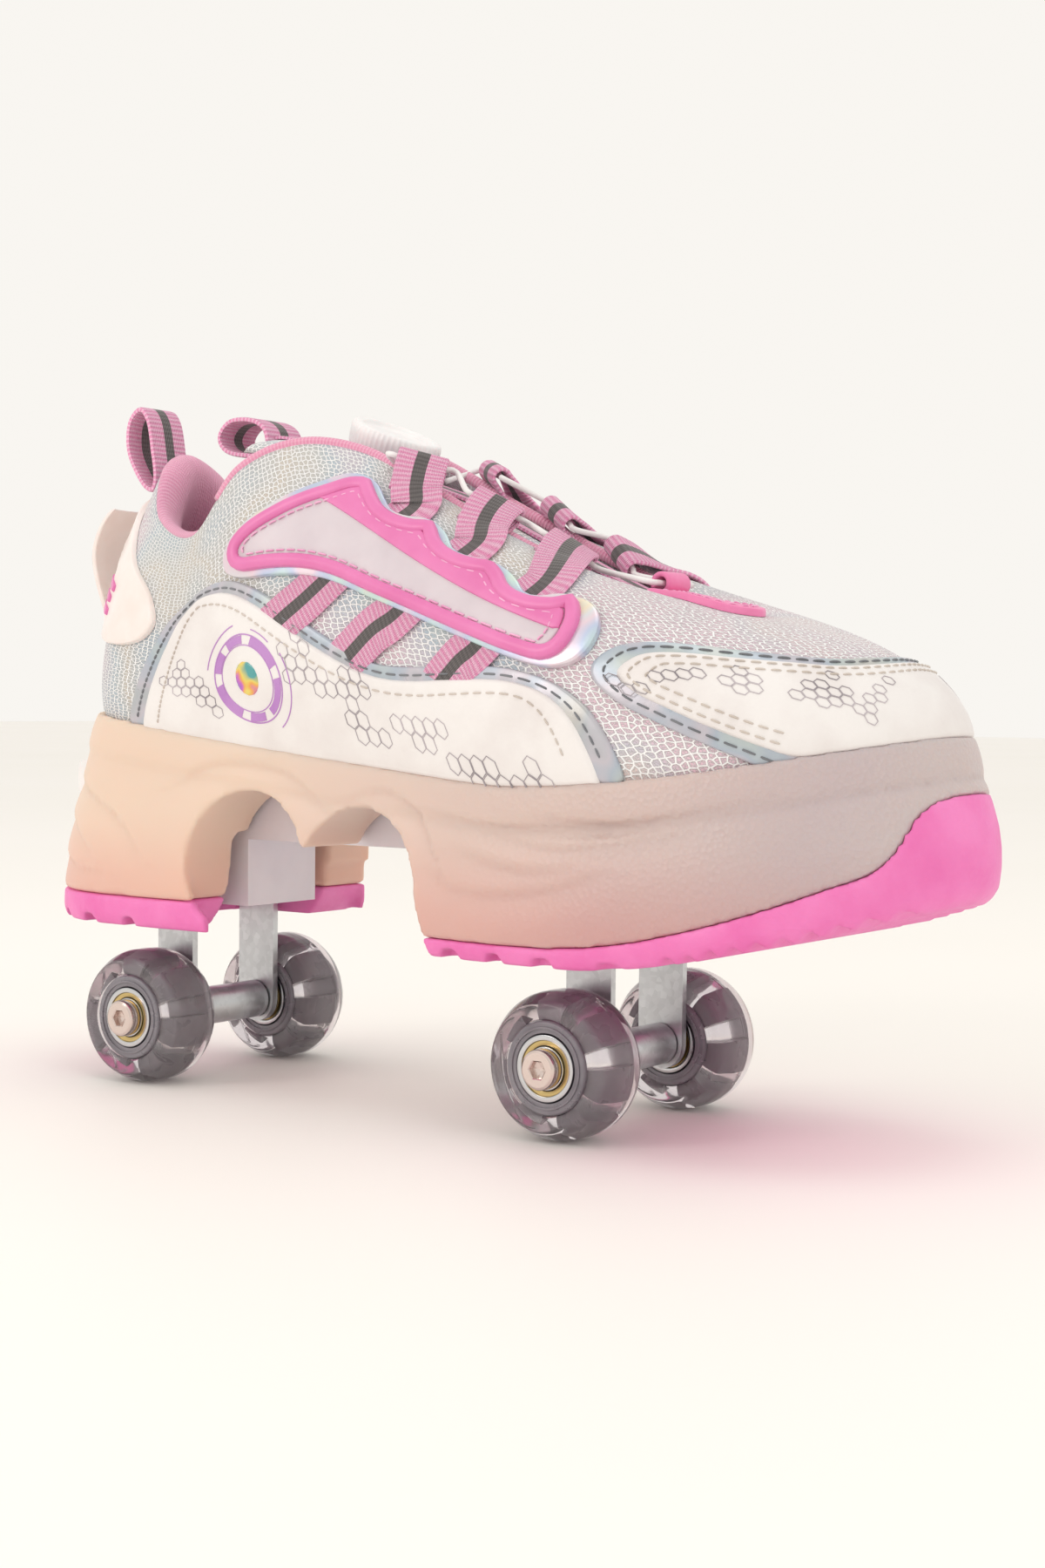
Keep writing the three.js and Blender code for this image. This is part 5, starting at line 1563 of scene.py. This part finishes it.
def build_wheel(end, side):
    place_name = f"{end}_{side}"
    body = place_name + "_wheel"
    centre = np.array(JOINTS[body + "_spin"]["pos_m"]) / MM - ORIGIN
    piece("tyre_cast_" + place_name, lathe_shape(tyre_profile(), centre, 120, True), "urethane",
          body, "tyre_" + place_name, sharp=50)
    piece("core_" + place_name, joined(core_shapes(centre)), "core", body,
          "hub_" + place_name)
    for which in ("outer", "inner"):
        low, high = node_box(f"bearing_{which}_{place_name}")
        middle = centre * [1, 0, 1] + [0, (low[1] + high[1]) / 2, 0]
        races = []
        for r0, r1 in RACES:
            ring = rounded(box_outline(r0, r1, -BEARING_HALF, BEARING_HALF), 0.25, 2)
            races.append(lathe_shape(ring, middle, 64, True))
        piece(f"races_{which}_{place_name}", joined(races), "race", body,
              f"bearing_{which}_{place_name}")
        shield = [(5.45, -2.0), (6.65, -2.15), (6.65, 2.15), (5.45, 2.0)]
        piece(f"shield_{which}_{place_name}", lathe_shape(rounded(shield, 0.15, 2), middle, 64, True),
              "shield", body)
        # A thin near-black ring set back in the clearance between inner race and shield: painted shade
        # of the gap.
        gap_shade_ring = box_outline(5.22, 5.43, -1.6, 1.6)
        piece(f"seal_{which}_{place_name}", lathe_shape(gap_shade_ring, middle, 64, True), "dark", body)


def build_truck(end):
    body = end + "_truck"
    x = PIVOT[end][0] - ORIGIN[0]
    centre = np.array([x, 0, WHEEL_R])
    inner, outer = 36.3, 39.3
    for name, sign in (("axle_bolt_", -1), ("axle_nut_", 1)):
        shape = bolt_shape(centre, sign, inner, outer, 4.9, 3.9, 1.0, 4)
        piece(name + "turned_" + end, shape, "nickel", body, name + end, sharp=30)
    tube = rounded(box_outline(4.3, 5.3, -15.2, 15.2), 0.2, 2)
    piece("spacer_" + end, lathe_shape(tube, centre, 64, True), "zinc", body,
          "spacer_tube_" + end)
    for side in SIDES:
        dress(f"leg_{end}_{side}", "zinc", 0.35)
    pivot = np.array([x, 0, PIVOT_Z])
    pin = [(0, -19.4), (4.4, -19.4), (5, -18.8), (5, -17.95), (3.4, -17.9)]
    pin = pin + [(r, -y) for r, y in pin[::-1]]
    piece("pivot_" + end, lathe_shape(pin, pivot, 48), "zinc", "shoe", "pivot_pin_" + end)
    turns, points = 6, []
    for angle in np.linspace(0, 2 * math.pi * turns, turns * 24):
        y = -4.4 + 8.8 * angle / (2 * math.pi * turns)
        points.append([x + 4.9 * math.sin(angle), y, PIVOT_Z + 4.9 * math.cos(angle)])
    points += [[x - 4.9, 4.4, PIVOT_Z - 3], [x - 4.9, 4.4, PIVOT_Z - 8]]
    path = np.array(points)
    normals = np.tile([0.0, 1, 0], (len(path), 1))
    piece("torsion_spring_" + end, sweep_shape(path, normals, round_section(0.55, 8)), "race", "shoe",
          "kick_spring_" + end, sharp=180)


def build_latch():
    low, high = node_box("return_spring")
    middle = (low + high) / 2
    turns = 5
    angles = np.linspace(0, 2 * math.pi * turns, turns * 24)
    radius = (high[2] - low[2]) / 2 - 0.6
    run = np.linspace(low[0] + 0.6, high[0] - 0.6, len(angles))
    path = np.stack([run, middle[1] + radius * np.cos(angles), middle[2] + radius * np.sin(angles)], 1)
    normals = np.tile([1.0, 0, 0], (len(path), 1))
    piece("button_spring", sweep_shape(path, normals, round_section(0.55, 8)), "race", "release",
          "return_spring", sharp=180)
    dress("latch_bar", "zinc", 0.3)
    dress("release_button", "white_plastic", 0.9)
    dress("housing", "housing", 0.7)


# ---- stage ------------------------------------------------------------------------------
def area_light(name, at, aim, size, power, color="#FFFFFF"):
    data = bpy.data.lights.new(name, "AREA")
    data.shape, data.size, data.energy = "DISK", size, power
    data.color = hex_color(color)[:3]
    made = new_object(name, data)
    made.location = at
    made.rotation_euler = (Vector(aim) - Vector(at)).to_track_quat("-Z", "Y").to_euler()


def build_stage():
    floor_mesh = bpy.data.meshes.new("studio_floor")
    size = 6.0
    floor_mesh.from_pydata(
        [(-size, -size, 0), (size, -size, 0), (size, size, 0), (-size, size, 0)], [], [(0, 1, 2, 3)]
    )
    floor, tree, shader = material("pale_floor", "#FBF8F3", 0.6)
    clouded(tree, shader, 400, 2, [(0.3, "#FAF7F2"), (0.7, "#FCF9F5")])
    floor_mesh.materials.append(floor)
    new_object("studio_floor", floor_mesh)
    world = bpy.data.worlds.new("studio")
    world.use_nodes = True
    background = world.node_tree.nodes["Background"]
    background.inputs["Color"].default_value = hex_color("#FBF8F3")
    background.inputs["Strength"].default_value = 0.98
    bpy.context.scene.world = world
    bpy.context.scene.view_settings.view_transform = "Standard"
    area_light("top_light", (0.1, -0.1, 1.3), (0, 0, 0.05), 0.7, 1.6)
    area_light("near_light", (-0.6, -1.1, 0.7), (0, 0, 0.09), 0.5, 2.8, "#FFF8F2")
    area_light("toe_light", (1.2, -0.4, 0.5), (0.05, 0, 0.09), 0.5, 0.8)


def build_camera():
    azimuth, elevation, roll = math.radians(35.121), math.radians(2.16), 0.0102
    back = Vector((
        math.sin(azimuth) * math.cos(elevation), -math.cos(azimuth) * math.cos(elevation),
        math.sin(elevation),
    ))
    right = Vector((0, 0, 1)).cross(back).normalized()
    up = back.cross(right)
    right, up = (
        right * math.cos(roll) + up * math.sin(roll), up * math.cos(roll) - right * math.sin(roll),
    )
    data = bpy.data.cameras.new("camera")
    data.sensor_width, data.sensor_fit, data.lens = 36, "AUTO", 52.55
    data.clip_start, data.clip_end = 0.02, 30
    made = new_object("camera", data)
    turn = Matrix((right, up, back)).transposed().to_4x4()
    made.matrix_world = Matrix.Translation(Vector(place([372.1, -478.0, 105.3]))) @ turn
    bpy.context.scene.camera = made


build_camera()
build_stage()
build_sole()
build_upper()
build_collar()
build_insole()
build_tongue()
build_quarters()
build_toe()
for side in SIDES:
    build_badge(side)
strap_places = build_straps()
build_binding()
band_loop("heel_pull", HEEL_LOOP, 13.4, 1.5, "heel_loop")
band_loop("tongue_pull", TONGUE_LOOP, 14.6, 1.3, "tongue_loop")
build_clip()
build_vamp_patch()
build_wire(strap_places)
build_prints()
build_dial()
for end in ENDS:
    build_truck(end)
    for side in SIDES:
        build_wheel(end, side)
build_latch()
